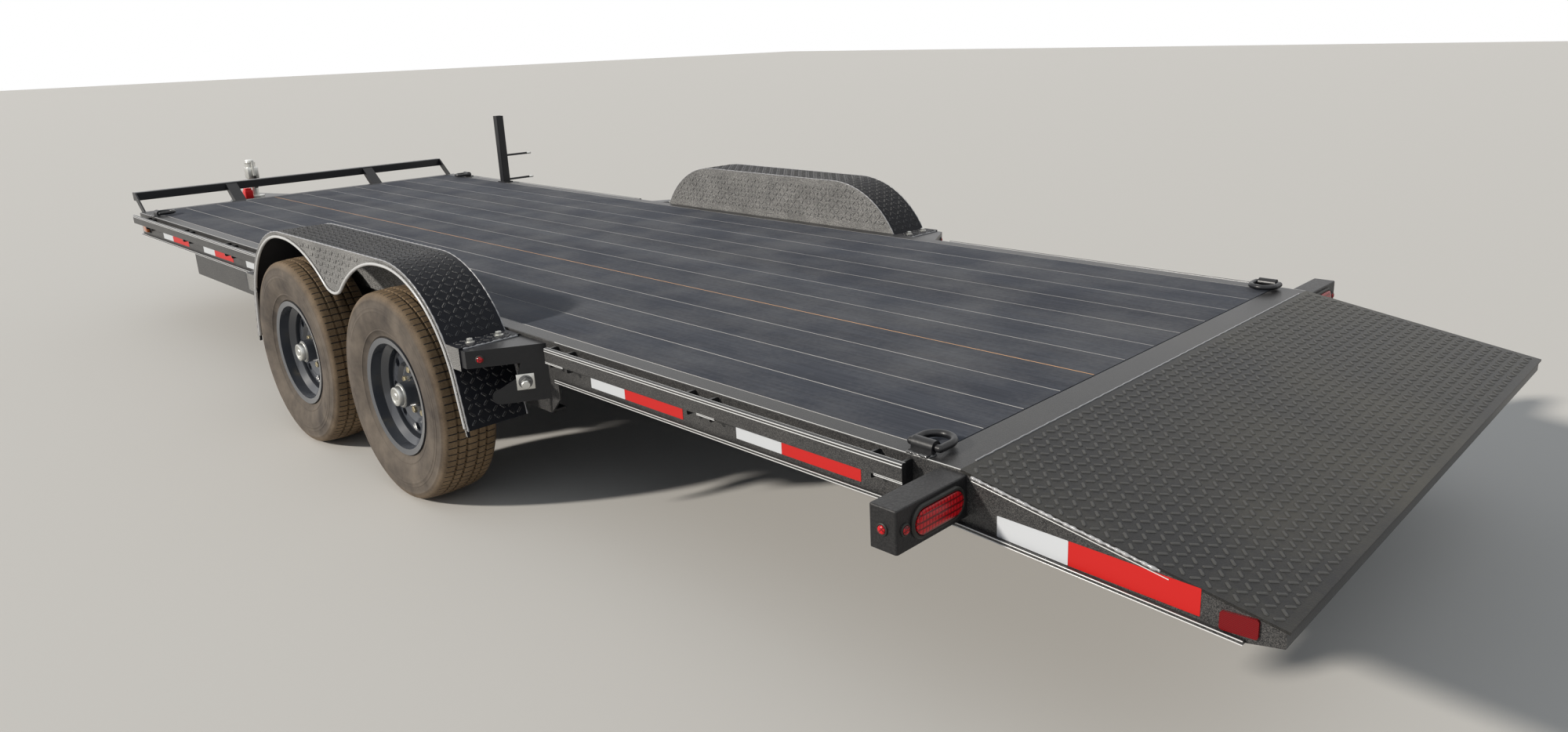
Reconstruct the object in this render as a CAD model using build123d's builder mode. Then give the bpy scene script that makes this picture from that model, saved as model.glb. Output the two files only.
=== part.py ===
"""Tandem-axle flat-deck car hauler trailer with a checker-plate dovetail, in millimetres.

X runs forward to the coupler, Y to the left and Z up. The origin is on the ground, under the middle of
the whole trailer. The trailer stands as it parks, on its four wheels and the foot of its tongue jack.
"""
import os
from math import atan2, cos, degrees, hypot, radians, sin, sqrt, tan

from build123d import *

# Deck and dovetail
deck_width = 2032
deck_length = 6240
deck_height = 665
plank_count = 11
plank_thickness = 38
plank_gap = 4
plank_end_gap = 4
dovetail_length = 735
dovetail_drop = 116
dovetail_plate = 6
dovetail_overhang = 6
cross_strip_width = 100
rib_spread = 500

# Side rails: a channel with its web outwards, carried on a deeper beam along the middle of the trailer
rail_depth = 135
rail_web = 6
rail_flange = 58
rail_flange_thickness = 8
rail_lip = 12
beam_depth = 122
beam_flange = 55
beam_web = 7
beam_rear = 1640
beam_front_back = 950
beam_cut = 60

# Rub rails and stake pockets: the rear ones are measured forward from the line where the dovetail starts,
# the front ones back from the deck's front edge
rub_height = 50
rub_thickness = 14
rub_standoff = 34
rub_drop = 6
pocket_inner = 89
spacer_thickness = 8
spacer_below = 18
rear_rub_span = (130, 1625)
front_rub_back = (2250, 36)
rear_pockets = (190, 875, 1570)
front_pockets_back = (2180, 1640, 970, 280)

# Crossmembers under the planks
cross_depth = 76
cross_flange = 38
cross_wall = 5
cross_count = 14

# Tongue
tongue_length = 1520
tongue_wall = 7
tongue_flange = 55
tongue_nose_y = 62
tongue_nose_back = 150
header_wall = 6
header_flange = 50

# Ball coupler
ball_height = 470
ball_radius = 29.4
socket_wall = 9
coupler_nose = 48
coupler_back = 250
coupler_width = 70

# Jack on the tongue
jack_ahead = 1120
jack_tube_radius = 29
jack_tube_wall = 4
jack_tube_bottom = 375
jack_tube_top = 790
jack_leg_clearance = 0.08
jack_leg_wall = 4
jack_leg_top = 560
foot_size = 130
foot_thickness = 8
crank_drop = 190

# Wheels and tyres
axle_centre = 2797
axle_spacing = 889
tyre_radius = 388
tyre_width = 212
wheel_out = 150
rim_flange_radius = 218
rim_seat_radius = 203
rim_drop_radius = 182
rim_width = 176
rim_wall = 6
bead_gap = 0.3
disc_thickness = 8
disc_hole_count = 8
disc_hole_radius = 17
disc_hole_circle = 128
lug_count = 8
lug_circle = 82.55
hub_bore = 58
drum_radius = 152
drum_length = 62
hub_radius = 52
spindle_clearance = 0.05
hub_reach = 66
cap_radius = 34
cap_length = 19

# Axles and springs
spindle_radius = 30
axle_tube_radius = 38
axle_drop = 115
backing_radius = 152
backing_thickness = 5
spring_in = 32
spring_width = 44
eye_clearance = 0.05
shackle_wall = 5
equalizer_drop = 46
spring_eye_span = 660
leaf_thickness = 8
leaf_lengths = (660, 520, 380, 240)
leaf_seam = 0.6
rod_radius = 6
spring_plate = 10
seat_height = 8
eye_radius = 17
eye_bore = 9
eye_height = 379
hanger_wall = 7
hanger_length = 74

# Fenders
fender_gap = 6
fender_out = 224
fender_top = 890
fender_bottom = 372
fender_half_at_deck = 858
fender_flare = 13.0
fender_corner_radius = 450
fender_wall = 4
fender_edge = 20
teardrop_bottom = 705
teardrop_radius = 120
fender_bead = 10
fender_foot = 95
fender_foot_drop = 6
fender_foot_wall = 6
fender_end_drop = 77
bracket_under = 45
bracket_past = 32
bracket_widening = 122
bracket_depth = 58
bracket_wall = 5
gusset_wall = 8
gusset_neck = 165
gusset_nose_at = 92
gusset_nose = 25
gusset_nose_drop = 108
gusset_pin = 14
gusset_pin_at = 175
gusset_pin_drop = 64

# Lamps and light boxes
box_length = 76
box_height = 100
box_out = 242
box_ahead = -18
box_top_drop = 8
lamp_length = 165
lamp_height = 60
lamp_proud = 6
lamp_in = 137
lamp_up = 50
marker_in = 27

# D-rings
ring_wire = 9.5
ring_length = 100
ring_width = 105
ring_lift = 17
ring_in = 32
ring_clearance = 0.3
strap_width = 62
strap_wall = 7
strap_foot = 14
rear_ring_place = 125
front_ring_back = 265

# Front rail and spare-wheel post
front_rail_height = 105
front_rail_tube = 50
front_rail_wall = 4
front_rail_ahead = 136
front_rail_half = 990
front_post_y = 445
front_post_width = 65
post_back = 800
post_tube = 50
post_wall = 4
post_height = 450
post_plate = 6
post_inset = 6
stud_radius = 7
stud_length = 190
stud_spread = 165.1
stud_centre_up = 98

# Places along the trailer
overall_length = dovetail_length + deck_length + tongue_length + coupler_nose
rear_x = -overall_length / 2
hinge_x = rear_x + dovetail_length
front_x = hinge_x + deck_length
ball_x = front_x + tongue_length
half = deck_width / 2
rail_bottom = deck_height - rail_depth
beam_bottom = rail_bottom - beam_depth
cross_top = deck_height - plank_thickness
rear_axle_x = hinge_x + axle_centre - axle_spacing / 2
front_axle_x = hinge_x + axle_centre + axle_spacing / 2
fender_x = hinge_x + axle_centre
jack_x = front_x + jack_ahead
beam_front = deck_length - beam_front_back
front_rub_span = (deck_length - front_rub_back[0], deck_length - front_rub_back[1])
pocket_places = (*rear_pockets, *(deck_length - back for back in front_pockets_back))
ring_places = (rear_ring_place, deck_length - front_ring_back)
wheel_y = half + wheel_out
spring_y = half - spring_in
ring_y = half - ring_in
fender_inner_y = half + fender_gap
fender_outer_y = half + fender_out
box_outer_y = half + box_out
dovetail_slope = degrees(atan2(dovetail_drop, dovetail_length))

parts = {}


def side_plane(y):
    """A plane across the trailer at y, where local x is X and local y is Z, and extrusion runs to -Y."""
    return Plane(origin=(0, y, 0), x_dir=(1, 0, 0), z_dir=(0, -1, 0))


def keep(name, shape):
    """Label a finished piece and remember it for export."""
    shape.label = name
    parts[name] = shape


def keep_pair(name, left_shape):
    """Keep a left-hand piece and its mirror image on the right."""
    with BuildPart() as right:
        mirror(left_shape, about=Plane.XZ)
    keep("left_" + name, left_shape)
    keep("right_" + name, right.part)


# Side rail: the channel with its web outwards and a lip along the bottom
with BuildPart() as side_rail:
    with BuildSketch(Plane.YZ.offset(hinge_x)):
        with BuildLine():
            Polyline(
                (half, deck_height),
                (half, rail_bottom + rail_flange_thickness),
                (half + rail_lip, rail_bottom + rail_flange_thickness),
                (half + rail_lip, rail_bottom),
                (half - rail_flange, rail_bottom),
                (half - rail_flange, rail_bottom + rail_flange_thickness),
                (half - rail_web, rail_bottom + rail_flange_thickness),
                (half - rail_web, deck_height - rail_flange_thickness),
                (half - rail_flange, deck_height - rail_flange_thickness),
                (half - rail_flange, deck_height),
                close=True,
            )
        make_face()
    extrude(amount=deck_length)
    # The lip stops where the deep beam carries the rail, so that tyres and fender brackets clear it
    with BuildSketch(Plane.XY.offset(rail_bottom)):
        with Locations((hinge_x + (beam_rear + front_rub_span[0]) / 2, half + rail_lip / 2)):
            Rectangle(front_rub_span[0] - beam_rear, rail_lip)
    extrude(amount=rail_flange_thickness, mode=Mode.SUBTRACT)
    fillet(side_rail.edges().filter_by(Axis.X).group_by(Axis.Z)[-1].sort_by(Axis.Y)[-1:], radius=4)
keep_pair("side_rail", side_rail.part)

# Main beam: the deeper channel below the rail, cut back at its rear end
with BuildPart() as main_beam:
    with BuildSketch(side_plane(half)):
        with BuildLine():
            Polyline(
                (hinge_x + beam_rear, rail_bottom),
                (hinge_x + beam_front, rail_bottom),
                (hinge_x + beam_front, beam_bottom),
                (hinge_x + beam_rear + beam_cut, beam_bottom),
                (hinge_x + beam_rear, beam_bottom + beam_cut),
                close=True,
            )
        make_face()
    extrude(amount=beam_web)
    with BuildSketch(Plane.XY.offset(beam_bottom)):
        with Locations((hinge_x + (beam_rear + beam_cut + beam_front) / 2, half - beam_flange / 2)):
            Rectangle(beam_front - beam_rear - beam_cut, beam_flange)
    extrude(amount=rail_flange_thickness)
    with BuildSketch(Plane.XY.offset(rail_bottom)):
        with Locations((hinge_x + (beam_rear + beam_front) / 2, half - beam_flange / 2)):
            Rectangle(beam_front - beam_rear, beam_flange)
    extrude(amount=-rail_flange_thickness)
keep_pair("main_beam", main_beam.part)

# Rub rail: a bar held off the web by spacers, which form the stake pockets in pairs
with BuildPart() as rub_rail:
    rub_top = deck_height - rub_drop
    rub_inner = half + rub_standoff
    for start, end in (rear_rub_span, front_rub_span):
        with BuildSketch(Plane.YZ.offset(hinge_x + start)):
            with Locations((rub_inner + rub_thickness / 2, rub_top - rub_height / 2)):
                RectangleRounded(rub_thickness, rub_height, 5)
        extrude(amount=end - start)
    for place in pocket_places:
        for shift in (-pocket_inner / 2 - spacer_thickness, pocket_inner / 2):
            with BuildSketch(Plane.YZ.offset(hinge_x + place + shift)):
                with Locations((half + (rub_standoff + 4) / 2, rub_top - 3 - (rub_height + spacer_below - 3) / 2)):
                    RectangleRounded(rub_standoff + 4, rub_height + spacer_below - 3, 6)
            extrude(amount=spacer_thickness)
keep_pair("rub_rail", rub_rail.part)

# Front channel of the deck, toes backwards, between the side rails
with BuildPart() as header:
    with BuildSketch(side_plane(half - rail_web)):
        with BuildLine():
            Polyline(
                (front_x, deck_height),
                (front_x, rail_bottom),
                (front_x - header_flange, rail_bottom),
                (front_x - header_flange, rail_bottom + header_wall),
                (front_x - header_wall, rail_bottom + header_wall),
                (front_x - header_wall, deck_height - header_wall),
                (front_x - header_flange, deck_height - header_wall),
                (front_x - header_flange, deck_height),
                close=True,
            )
        make_face()
    extrude(amount=2 * (half - rail_web))
    # The ends are cut square to the flanges of the side rails
    for end_y in (half - rail_web, -half + rail_flange):
        with BuildSketch(side_plane(end_y)):
            with Locations((front_x - header_flange / 2, deck_height - rail_flange_thickness / 2)):
                Rectangle(header_flange, rail_flange_thickness)
            with Locations((front_x - header_flange / 2, rail_bottom + rail_flange_thickness / 2)):
                Rectangle(header_flange, rail_flange_thickness)
        extrude(amount=rail_flange - rail_web, mode=Mode.SUBTRACT)
keep("front_channel", header.part)

# Crossmembers, from web to web
cross_pitch = deck_length / (cross_count + 1)
with BuildPart() as crossmembers:
    for number in range(1, cross_count + 1):
        with BuildSketch(side_plane(half - rail_web)):
            x = hinge_x + number * cross_pitch
            with BuildLine():
                Polyline(
                    (x, cross_top),
                    (x + cross_flange, cross_top),
                    (x + cross_flange, cross_top - cross_wall),
                    (x + cross_wall, cross_top - cross_wall),
                    (x + cross_wall, cross_top - cross_depth + cross_wall),
                    (x + cross_flange, cross_top - cross_depth + cross_wall),
                    (x + cross_flange, cross_top - cross_depth),
                    (x, cross_top - cross_depth),
                    close=True,
                )
            make_face()
        extrude(amount=2 * (half - rail_web))
keep("crossmembers", crossmembers.part)

# Deck planks, lengthwise, with open gaps between them
plank_span = deck_length - cross_strip_width - header_flange - 2 * plank_end_gap
plank_room = 2 * (half - rail_flange) - (plank_count + 1) * plank_gap
plank_width = plank_room / plank_count
with BuildPart() as planks:
    with BuildSketch(Plane.XY.offset(cross_top)):
        with Locations((hinge_x + cross_strip_width + plank_end_gap + plank_span / 2, 0)):
            with GridLocations(1, plank_width + plank_gap, 1, plank_count):
                Rectangle(plank_span, plank_width)
    extrude(amount=plank_thickness)
keep("deck_planks", planks.part)

# Cross strip: a channel laid across the deck where the dovetail starts, with the rear frame under it
with BuildPart() as cross_strip:
    with BuildSketch(side_plane(half - rail_flange)):
        with BuildLine():
            Polyline(
                (hinge_x, deck_height),
                (hinge_x + cross_strip_width, deck_height),
                (hinge_x + cross_strip_width, deck_height - header_wall),
                (hinge_x + header_wall, deck_height - header_wall),
                (hinge_x + header_wall, rail_bottom + header_wall),
                (hinge_x + header_flange, rail_bottom + header_wall),
                (hinge_x + header_flange, rail_bottom),
                (hinge_x, rail_bottom),
                close=True,
            )
        make_face()
    extrude(amount=2 * (half - rail_flange))

# Dovetail: tapered side channels, a rear bar and three ribs under the checker plate
plate_normal = dovetail_plate / cos(radians(dovetail_slope))
tail_rear_x = rear_x + dovetail_overhang
tail_drop = dovetail_drop * (hinge_x - tail_rear_x) / dovetail_length
tail_top = deck_height - plate_normal
tail_end_depth = 32
tail_chamfer = 74
tail_chamfer_rise = 16
tail_low = tail_top - tail_drop - tail_end_depth - tail_chamfer_rise
with BuildPart() as dovetail_sides:
    with BuildSketch(side_plane(half)):
        with BuildLine():
            Polyline(
                (hinge_x, tail_top),
                (tail_rear_x, tail_top - tail_drop),
                (tail_rear_x, tail_low + tail_chamfer_rise),
                (tail_rear_x + tail_chamfer, tail_low),
                (hinge_x, rail_bottom),
                close=True,
            )
        make_face()
    extrude(amount=rail_web)
    bottom_rise = tail_low - rail_bottom
    with BuildSketch(side_plane(half + rail_lip)):
        with BuildLine():
            Polyline(
                (hinge_x, rail_bottom),
                (hinge_x, rail_bottom + rail_flange_thickness),
                (tail_rear_x + tail_chamfer, rail_bottom + bottom_rise + rail_flange_thickness),
                (tail_rear_x + tail_chamfer, rail_bottom + bottom_rise),
                close=True,
            )
        make_face()
    extrude(amount=rail_lip + rail_flange + 4)

with BuildPart() as dovetail_ribs:
    rib_inner = half - rail_flange
    with BuildSketch(side_plane(half - rail_web)):
        with BuildLine():
            Polyline(
                (tail_rear_x, tail_top - tail_drop),
                (tail_rear_x + 40, tail_top - tail_drop * (hinge_x - tail_rear_x - 40) / (hinge_x - tail_rear_x)),
                (tail_rear_x + 40, tail_low + tail_chamfer_rise),
                (tail_rear_x, tail_low + tail_chamfer_rise),
                close=True,
            )
        make_face()
    extrude(amount=2 * (half - rail_web))
    for rib_y in (-rib_spread, 0, rib_spread):
        with BuildSketch(side_plane(rib_y + 4)):
            with BuildLine():
                Polyline(
                    (hinge_x, tail_top),
                    (tail_rear_x + 38, tail_top - tail_drop * (hinge_x - tail_rear_x - 38) / (hinge_x - tail_rear_x)),
                    (tail_rear_x + 38, tail_top - tail_drop - 26),
                    (hinge_x, rail_bottom + 30),
                    close=True,
                )
            make_face()
        extrude(amount=8)
with BuildPart() as dovetail_frame:
    add(cross_strip.part)
    add(dovetail_sides.part)
    mirror(dovetail_sides.part, about=Plane.XZ)
    add(dovetail_ribs.part)
keep("dovetail_frame", dovetail_frame.part)

with BuildPart() as dovetail_deck:
    with BuildSketch(side_plane(half)):
        with BuildLine():
            Polyline(
                (hinge_x, deck_height),
                (hinge_x, tail_top),
                (rear_x, tail_top - dovetail_drop),
                (rear_x, deck_height - dovetail_drop),
                close=True,
            )
        make_face()
    extrude(amount=deck_width)
keep("dovetail_plate", dovetail_deck.part)

# Tongue: each main beam carries on inwards to the coupler as a diagonal channel
tongue_rear_x = hinge_x + beam_front
tongue_nose_x = ball_x - tongue_nose_back
tongue_run = tongue_nose_x - tongue_rear_x
tongue_side = half - tongue_nose_y
tongue_angle = degrees(atan2(tongue_side, tongue_run))
with BuildPart() as tongue_beam:
    wall_along = tongue_wall / cos(radians(tongue_angle))
    flange_along = tongue_flange / cos(radians(tongue_angle))
    for bottom, thickness, across in (
        (beam_bottom, beam_depth, wall_along),
        (beam_bottom, rail_flange_thickness, flange_along),
        (rail_bottom - rail_flange_thickness, rail_flange_thickness, flange_along),
    ):
        with BuildSketch(Plane.XY.offset(bottom)):
            with BuildLine():
                Polyline(
                    (tongue_rear_x, half),
                    (tongue_nose_x, tongue_nose_y),
                    (tongue_nose_x, tongue_nose_y - across),
                    (tongue_rear_x, half - across),
                    close=True,
                )
            make_face()
        extrude(amount=thickness)
keep_pair("tongue_beam", tongue_beam.part)

# Nose plate over and under the two beams, with the hole for the jack
with BuildPart() as tongue_plate:
    plate_back_x = jack_x - 150
    back_y = tongue_nose_y + (tongue_nose_x - plate_back_x) * tongue_side / tongue_run
    with BuildSketch(Plane.XY.offset(rail_bottom)):
        with BuildLine():
            Polyline(
                (plate_back_x, back_y),
                (tongue_nose_x, tongue_nose_y),
                (tongue_nose_x, -tongue_nose_y),
                (plate_back_x, -back_y),
                close=True,
            )
        make_face()
        with Locations((jack_x, 0)):
            Circle(jack_tube_radius + 0.3, mode=Mode.SUBTRACT)
    extrude(amount=8)
    with BuildSketch(Plane.YZ.offset(tongue_nose_x)):
        with Locations((0, (beam_bottom + rail_bottom + 8) / 2)):
            Rectangle(2 * tongue_nose_y, beam_depth + 8)
    extrude(amount=8)
keep("tongue_plate", tongue_plate.part)

# Coupler: a socket over the ball, on a channel bolted to the nose plate
coupler_rear_x = tongue_nose_x + 8
with BuildPart() as coupler:
    with BuildSketch(Plane.XY.offset(ball_height - 26)):
        with Locations((ball_x, 0)):
            Circle(ball_radius + socket_wall)
        with Locations(((ball_x + coupler_rear_x) / 2, 0)):
            Rectangle(ball_x - coupler_rear_x, coupler_width)
    extrude(amount=62)
    fillet(coupler.faces().sort_by(Axis.Z)[-1].edges().filter_by(Axis.X), radius=10)
    with Locations((ball_x, 0, ball_height)):
        Sphere(ball_radius + 0.6, mode=Mode.SUBTRACT)
    with BuildSketch(Plane.XY.offset(ball_height - 30)):
        with Locations((ball_x, 0)):
            Circle(ball_radius + 0.6)
    extrude(amount=30, mode=Mode.SUBTRACT)
    with BuildSketch(Plane.YZ.offset(coupler_rear_x)):
        with Locations((0, (beam_bottom + rail_bottom) / 2)):
            Rectangle(coupler_width, beam_depth)
    extrude(amount=10)

    # The latch lever lies along the top
    with BuildSketch(side_plane(9)):
        with BuildLine():
            Polyline(
                (ball_x - 20, ball_height + 36),
                (ball_x - 95, ball_height + 36),
                (ball_x - 95, ball_height + 58),
                (ball_x - 60, ball_height + 64),
                (ball_x + 12, ball_height + 52),
                (ball_x + 12, ball_height + 44),
                (ball_x - 20, ball_height + 50),
                close=True,
            )
        make_face()
    extrude(amount=18)
keep("coupler", coupler.part)

# Jack: outer tube through the nose plate, head, folded crank, and a leg with its foot on the ground
with BuildPart() as jack_tube:
    with BuildSketch(Plane.XY.offset(jack_tube_bottom)):
        with Locations((jack_x, 0)):
            Circle(jack_tube_radius)
            Circle(jack_tube_radius - jack_tube_wall, mode=Mode.SUBTRACT)
    extrude(amount=jack_tube_top - 30 - jack_tube_bottom)
    with BuildSketch(Plane.XY.offset(jack_tube_top - 30)):
        with Locations((jack_x, 0)):
            Circle(jack_tube_radius + 5)
    extrude(amount=30)
    with BuildSketch(Plane.XY.offset(rail_bottom + 8)):
        with Locations((jack_x, 0)):
            Circle(jack_tube_radius + 34)
            Circle(jack_tube_radius - 1, mode=Mode.SUBTRACT)
    extrude(amount=9)

    # The crank lies folded down beside the tube
    crank_x = jack_x - jack_tube_radius - 22
    with BuildSketch(Plane.XY.offset(jack_tube_top)):
        with Locations((jack_x, 0)):
            Circle(11)
    extrude(amount=22)
    with BuildSketch(Plane.XY.offset(jack_tube_top + 8)):
        with Locations(((jack_x + crank_x) / 2, 0)):
            Rectangle(jack_x - crank_x + 12, 16)
    extrude(amount=9)
    with BuildSketch(Plane.XY.offset(jack_tube_top + 8)):
        with Locations((crank_x, 0)):
            Circle(8)
    extrude(amount=-crank_drop)
keep("jack_tube", jack_tube.part)

jack_leg_radius = jack_tube_radius - jack_tube_wall - jack_leg_clearance
with BuildPart() as jack_leg:
    with BuildSketch(Plane.XY.offset(foot_thickness)):
        with Locations((jack_x, 0)):
            Circle(jack_leg_radius)
            Circle(jack_leg_radius - jack_leg_wall, mode=Mode.SUBTRACT)
    extrude(amount=jack_leg_top - foot_thickness)
    with BuildSketch(Plane.XY):
        with Locations((jack_x, 0)):
            RectangleRounded(foot_size, foot_size, 14)
    extrude(amount=foot_thickness)
keep("jack_leg", jack_leg.part)

# Wheels: tyre, rim and hub with drum, modelled on the left and mirrored to the right
wheel_bodies = (("front", front_axle_x), ("rear", rear_axle_x))
for place, axle_x in wheel_bodies:
    wheel_plane = Plane(origin=(axle_x, wheel_y, tyre_radius), x_dir=(0, 1, 0), z_dir=(1, 0, 0))
    spin_axis = Axis((axle_x, wheel_y, tyre_radius), (0, 1, 0))
    half_tyre = tyre_width / 2
    half_rim = rim_width / 2
    with BuildPart() as tyre:
        with BuildSketch(wheel_plane):
            with BuildLine():
                Polyline(
                    (-half_rim + 12 + 2 * bead_gap, rim_seat_radius + bead_gap),
                    (-half_rim + 10 + 2 * bead_gap, rim_flange_radius + bead_gap),
                    (-half_rim - 6, rim_flange_radius + 14),
                    (-half_tyre, (rim_flange_radius + tyre_radius) / 2 + 4),
                    (-half_tyre + 7, tyre_radius - 30),
                    (-half_tyre + 26, tyre_radius - 6),
                    (-half_tyre / 2, tyre_radius),
                    (half_tyre / 2, tyre_radius),
                    (half_tyre - 26, tyre_radius - 6),
                    (half_tyre - 7, tyre_radius - 30),
                    (half_tyre, (rim_flange_radius + tyre_radius) / 2 + 4),
                    (half_rim + 6, rim_flange_radius + 14),
                    (half_rim - 10 - 2 * bead_gap, rim_flange_radius + bead_gap),
                    (half_rim - 12 - 2 * bead_gap, rim_seat_radius + bead_gap),
                    close=True,
                )
            make_face()
        revolve(axis=spin_axis, revolution_arc=360)
    keep_pair(place + "_tyre", tyre.part)

    with BuildPart() as rim:
        with BuildSketch(wheel_plane):
            with BuildLine():
                Polyline(
                    (-half_rim, rim_flange_radius),
                    (-half_rim + 10, rim_flange_radius),
                    (-half_rim + 12, rim_seat_radius),
                    (-half_rim + 44, rim_seat_radius - 2),
                    (-half_rim + 58, rim_drop_radius),
                    (half_rim - 62, rim_drop_radius),
                    (half_rim - 44, rim_seat_radius - 2),
                    (half_rim - 12, rim_seat_radius),
                    (half_rim - 10, rim_flange_radius),
                    (half_rim, rim_flange_radius),
                    (half_rim - 3, rim_seat_radius - rim_wall),
                    (half_rim - 40, rim_seat_radius - rim_wall - 2),
                    (half_rim - 60, rim_drop_radius - rim_wall),
                    (-half_rim + 56, rim_drop_radius - rim_wall),
                    (-half_rim + 40, rim_seat_radius - rim_wall - 2),
                    (-half_rim + 3, rim_seat_radius - rim_wall),
                    close=True,
                )
            make_face()
            # The disc: flat at the hub, dished outwards to the hand holes and welded into the drop centre
            with BuildLine():
                Polyline(
                    (0, hub_bore),
                    (disc_thickness, hub_bore),
                    (disc_thickness, lug_circle + 22),
                    (disc_thickness + 14, lug_circle + 34),
                    (disc_thickness + 10, rim_drop_radius - 20),
                    (disc_thickness - 14, rim_drop_radius - rim_wall + 0.5),
                    (-14, rim_drop_radius - rim_wall + 0.5),
                    (2, rim_drop_radius - 24),
                    (12, lug_circle + 36),
                    (0, lug_circle + 26),
                    close=True,
                )
            make_face()
        revolve(axis=spin_axis, revolution_arc=360)
        hole_plane = Plane(origin=(axle_x, wheel_y - 40, tyre_radius), x_dir=(1, 0, 0), z_dir=(0, 1, 0))
        with BuildSketch(hole_plane):
            with PolarLocations(disc_hole_circle + 6, disc_hole_count):
                Circle(disc_hole_radius)
        extrude(amount=90, mode=Mode.SUBTRACT)
    keep_pair(place + "_rim", rim.part)

    with BuildPart() as hub:
        with BuildSketch(wheel_plane):
            with BuildLine():
                Polyline(
                    (-drum_length - 10, spindle_radius + spindle_clearance),
                    (-drum_length - 10, hub_radius),
                    (-12, hub_radius),
                    (-12, drum_radius - 8),
                    (-drum_length - 12, drum_radius - 8),
                    (-drum_length - 12, drum_radius),
                    (0, drum_radius),
                    (0, hub_radius),
                    (hub_reach, hub_radius - 6),
                    (hub_reach, cap_radius + 4),
                    (hub_reach + 6, cap_radius),
                    (hub_reach + cap_length, cap_radius - 2),
                    (hub_reach + cap_length, 0),
                    (hub_reach - 20, 0),
                    (hub_reach - 20, spindle_radius + spindle_clearance),
                    close=True,
                )
            make_face()
        revolve(axis=spin_axis, revolution_arc=360)
    keep_pair(place + "_hub", hub.part)

# Axles: a dropped tube, an upright at each end, the spindle and the brake backing plate
for place, axle_x in wheel_bodies:
    tube_z = tyre_radius - axle_drop
    upright_y = half + 10 + 18
    with BuildPart() as axle:
        with BuildSketch(side_plane(upright_y + 18)):
            with Locations((axle_x, tube_z)):
                Circle(axle_tube_radius)
        extrude(amount=2 * (upright_y + 18))
        for side in (1, -1):
            outer_y = side * (upright_y + 18) + (0 if side > 0 else 36)
            with BuildSketch(side_plane(outer_y)):
                with Locations((axle_x, (tube_z + tyre_radius) / 2)):
                    Rectangle(2 * spindle_radius, axle_drop)
                with Locations((axle_x, tube_z), (axle_x, tyre_radius)):
                    Circle(axle_tube_radius)
            extrude(amount=36)
            spindle_start = side * (upright_y + 18)
            spindle_end = side * (wheel_y + hub_reach - 26)
            with BuildSketch(side_plane(spindle_start)):
                with Locations((axle_x, tyre_radius)):
                    Circle(spindle_radius)
            extrude(amount=spindle_start - spindle_end)
            backing_y = side * (wheel_y - drum_length - 20)
            with BuildSketch(side_plane(backing_y)):
                with Locations((axle_x, tyre_radius)):
                    Circle(backing_radius)
            extrude(amount=side * backing_thickness)
    keep(place + "_axle", axle.part)

# Springs: on each side a leaf pack over each axle, with an equalizer between them
tube_top = tyre_radius - axle_drop + axle_tube_radius
pack_bottom = tube_top + seat_height
pack_top = pack_bottom + leaf_thickness * len(leaf_lengths)
half_span = spring_eye_span / 2
leaf_rise = eye_height - eye_radius + leaf_thickness - pack_top


def leaf_arc(axle_x, reach, lift):
    """Centre line height of a leaf at its end, for a pack that curves up to the eyes."""
    return lift + leaf_rise * (reach / half_span) ** 2


spring_outer = spring_y + spring_width / 2
with BuildPart() as springs:
    for place, axle_x in wheel_bodies:
        for level, length in enumerate(leaf_lengths):
            reach = length / 2
            top_mid = pack_top - level * leaf_thickness
            top_end = leaf_arc(axle_x, reach, top_mid)
            seam = leaf_seam if level else 0
            with BuildSketch(side_plane(spring_outer)):
                with BuildLine():
                    upper = ThreePointArc(
                        (axle_x - reach, top_end + seam), (axle_x, top_mid + seam), (axle_x + reach, top_end + seam)
                    )
                    lower = ThreePointArc(
                        (axle_x + reach, top_end - leaf_thickness),
                        (axle_x, top_mid - leaf_thickness),
                        (axle_x - reach, top_end - leaf_thickness),
                    )
                    Line(upper @ 1, lower @ 0)
                    Line(lower @ 1, upper @ 0)
                make_face()
            extrude(amount=spring_width)
        with BuildSketch(side_plane(spring_outer)):
            with Locations((axle_x - half_span, eye_height), (axle_x + half_span, eye_height)):
                Circle(eye_radius)
        extrude(amount=spring_width)
        with BuildSketch(side_plane(spring_outer + 1)):
            with Locations((axle_x - half_span, eye_height), (axle_x + half_span, eye_height)):
                Circle(eye_bore + eye_clearance)
        extrude(amount=spring_width + 2, mode=Mode.SUBTRACT)
        # Seat on the tube, a plate over the leaves and one under the tube, and four rods between them
        with BuildSketch(Plane.XY.offset(tube_top)):
            with Locations((axle_x, spring_y)):
                Rectangle(84, spring_width)
        extrude(amount=seat_height + 2)
        rod_x = axle_tube_radius + rod_radius + 1
        rod_y = spring_width / 2 + rod_radius + 0.5
        for low in (pack_top - 1, tube_top - 2 * axle_tube_radius - spring_plate):
            with BuildSketch(Plane.XY.offset(low)):
                with Locations((axle_x, spring_y)):
                    Rectangle(2 * (rod_x + rod_radius + 6), 2 * (rod_y + rod_radius + 5))
            extrude(amount=spring_plate)
        with BuildSketch(Plane.XY.offset(tube_top - 2 * axle_tube_radius - spring_plate)):
            with Locations((axle_x, spring_y)):
                with GridLocations(2 * rod_x, 2 * rod_y, 2, 2):
                    Circle(rod_radius)
        extrude(amount=pack_top + spring_plate - tube_top + 2 * axle_tube_radius)
keep_pair("springs", springs.part)

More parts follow.
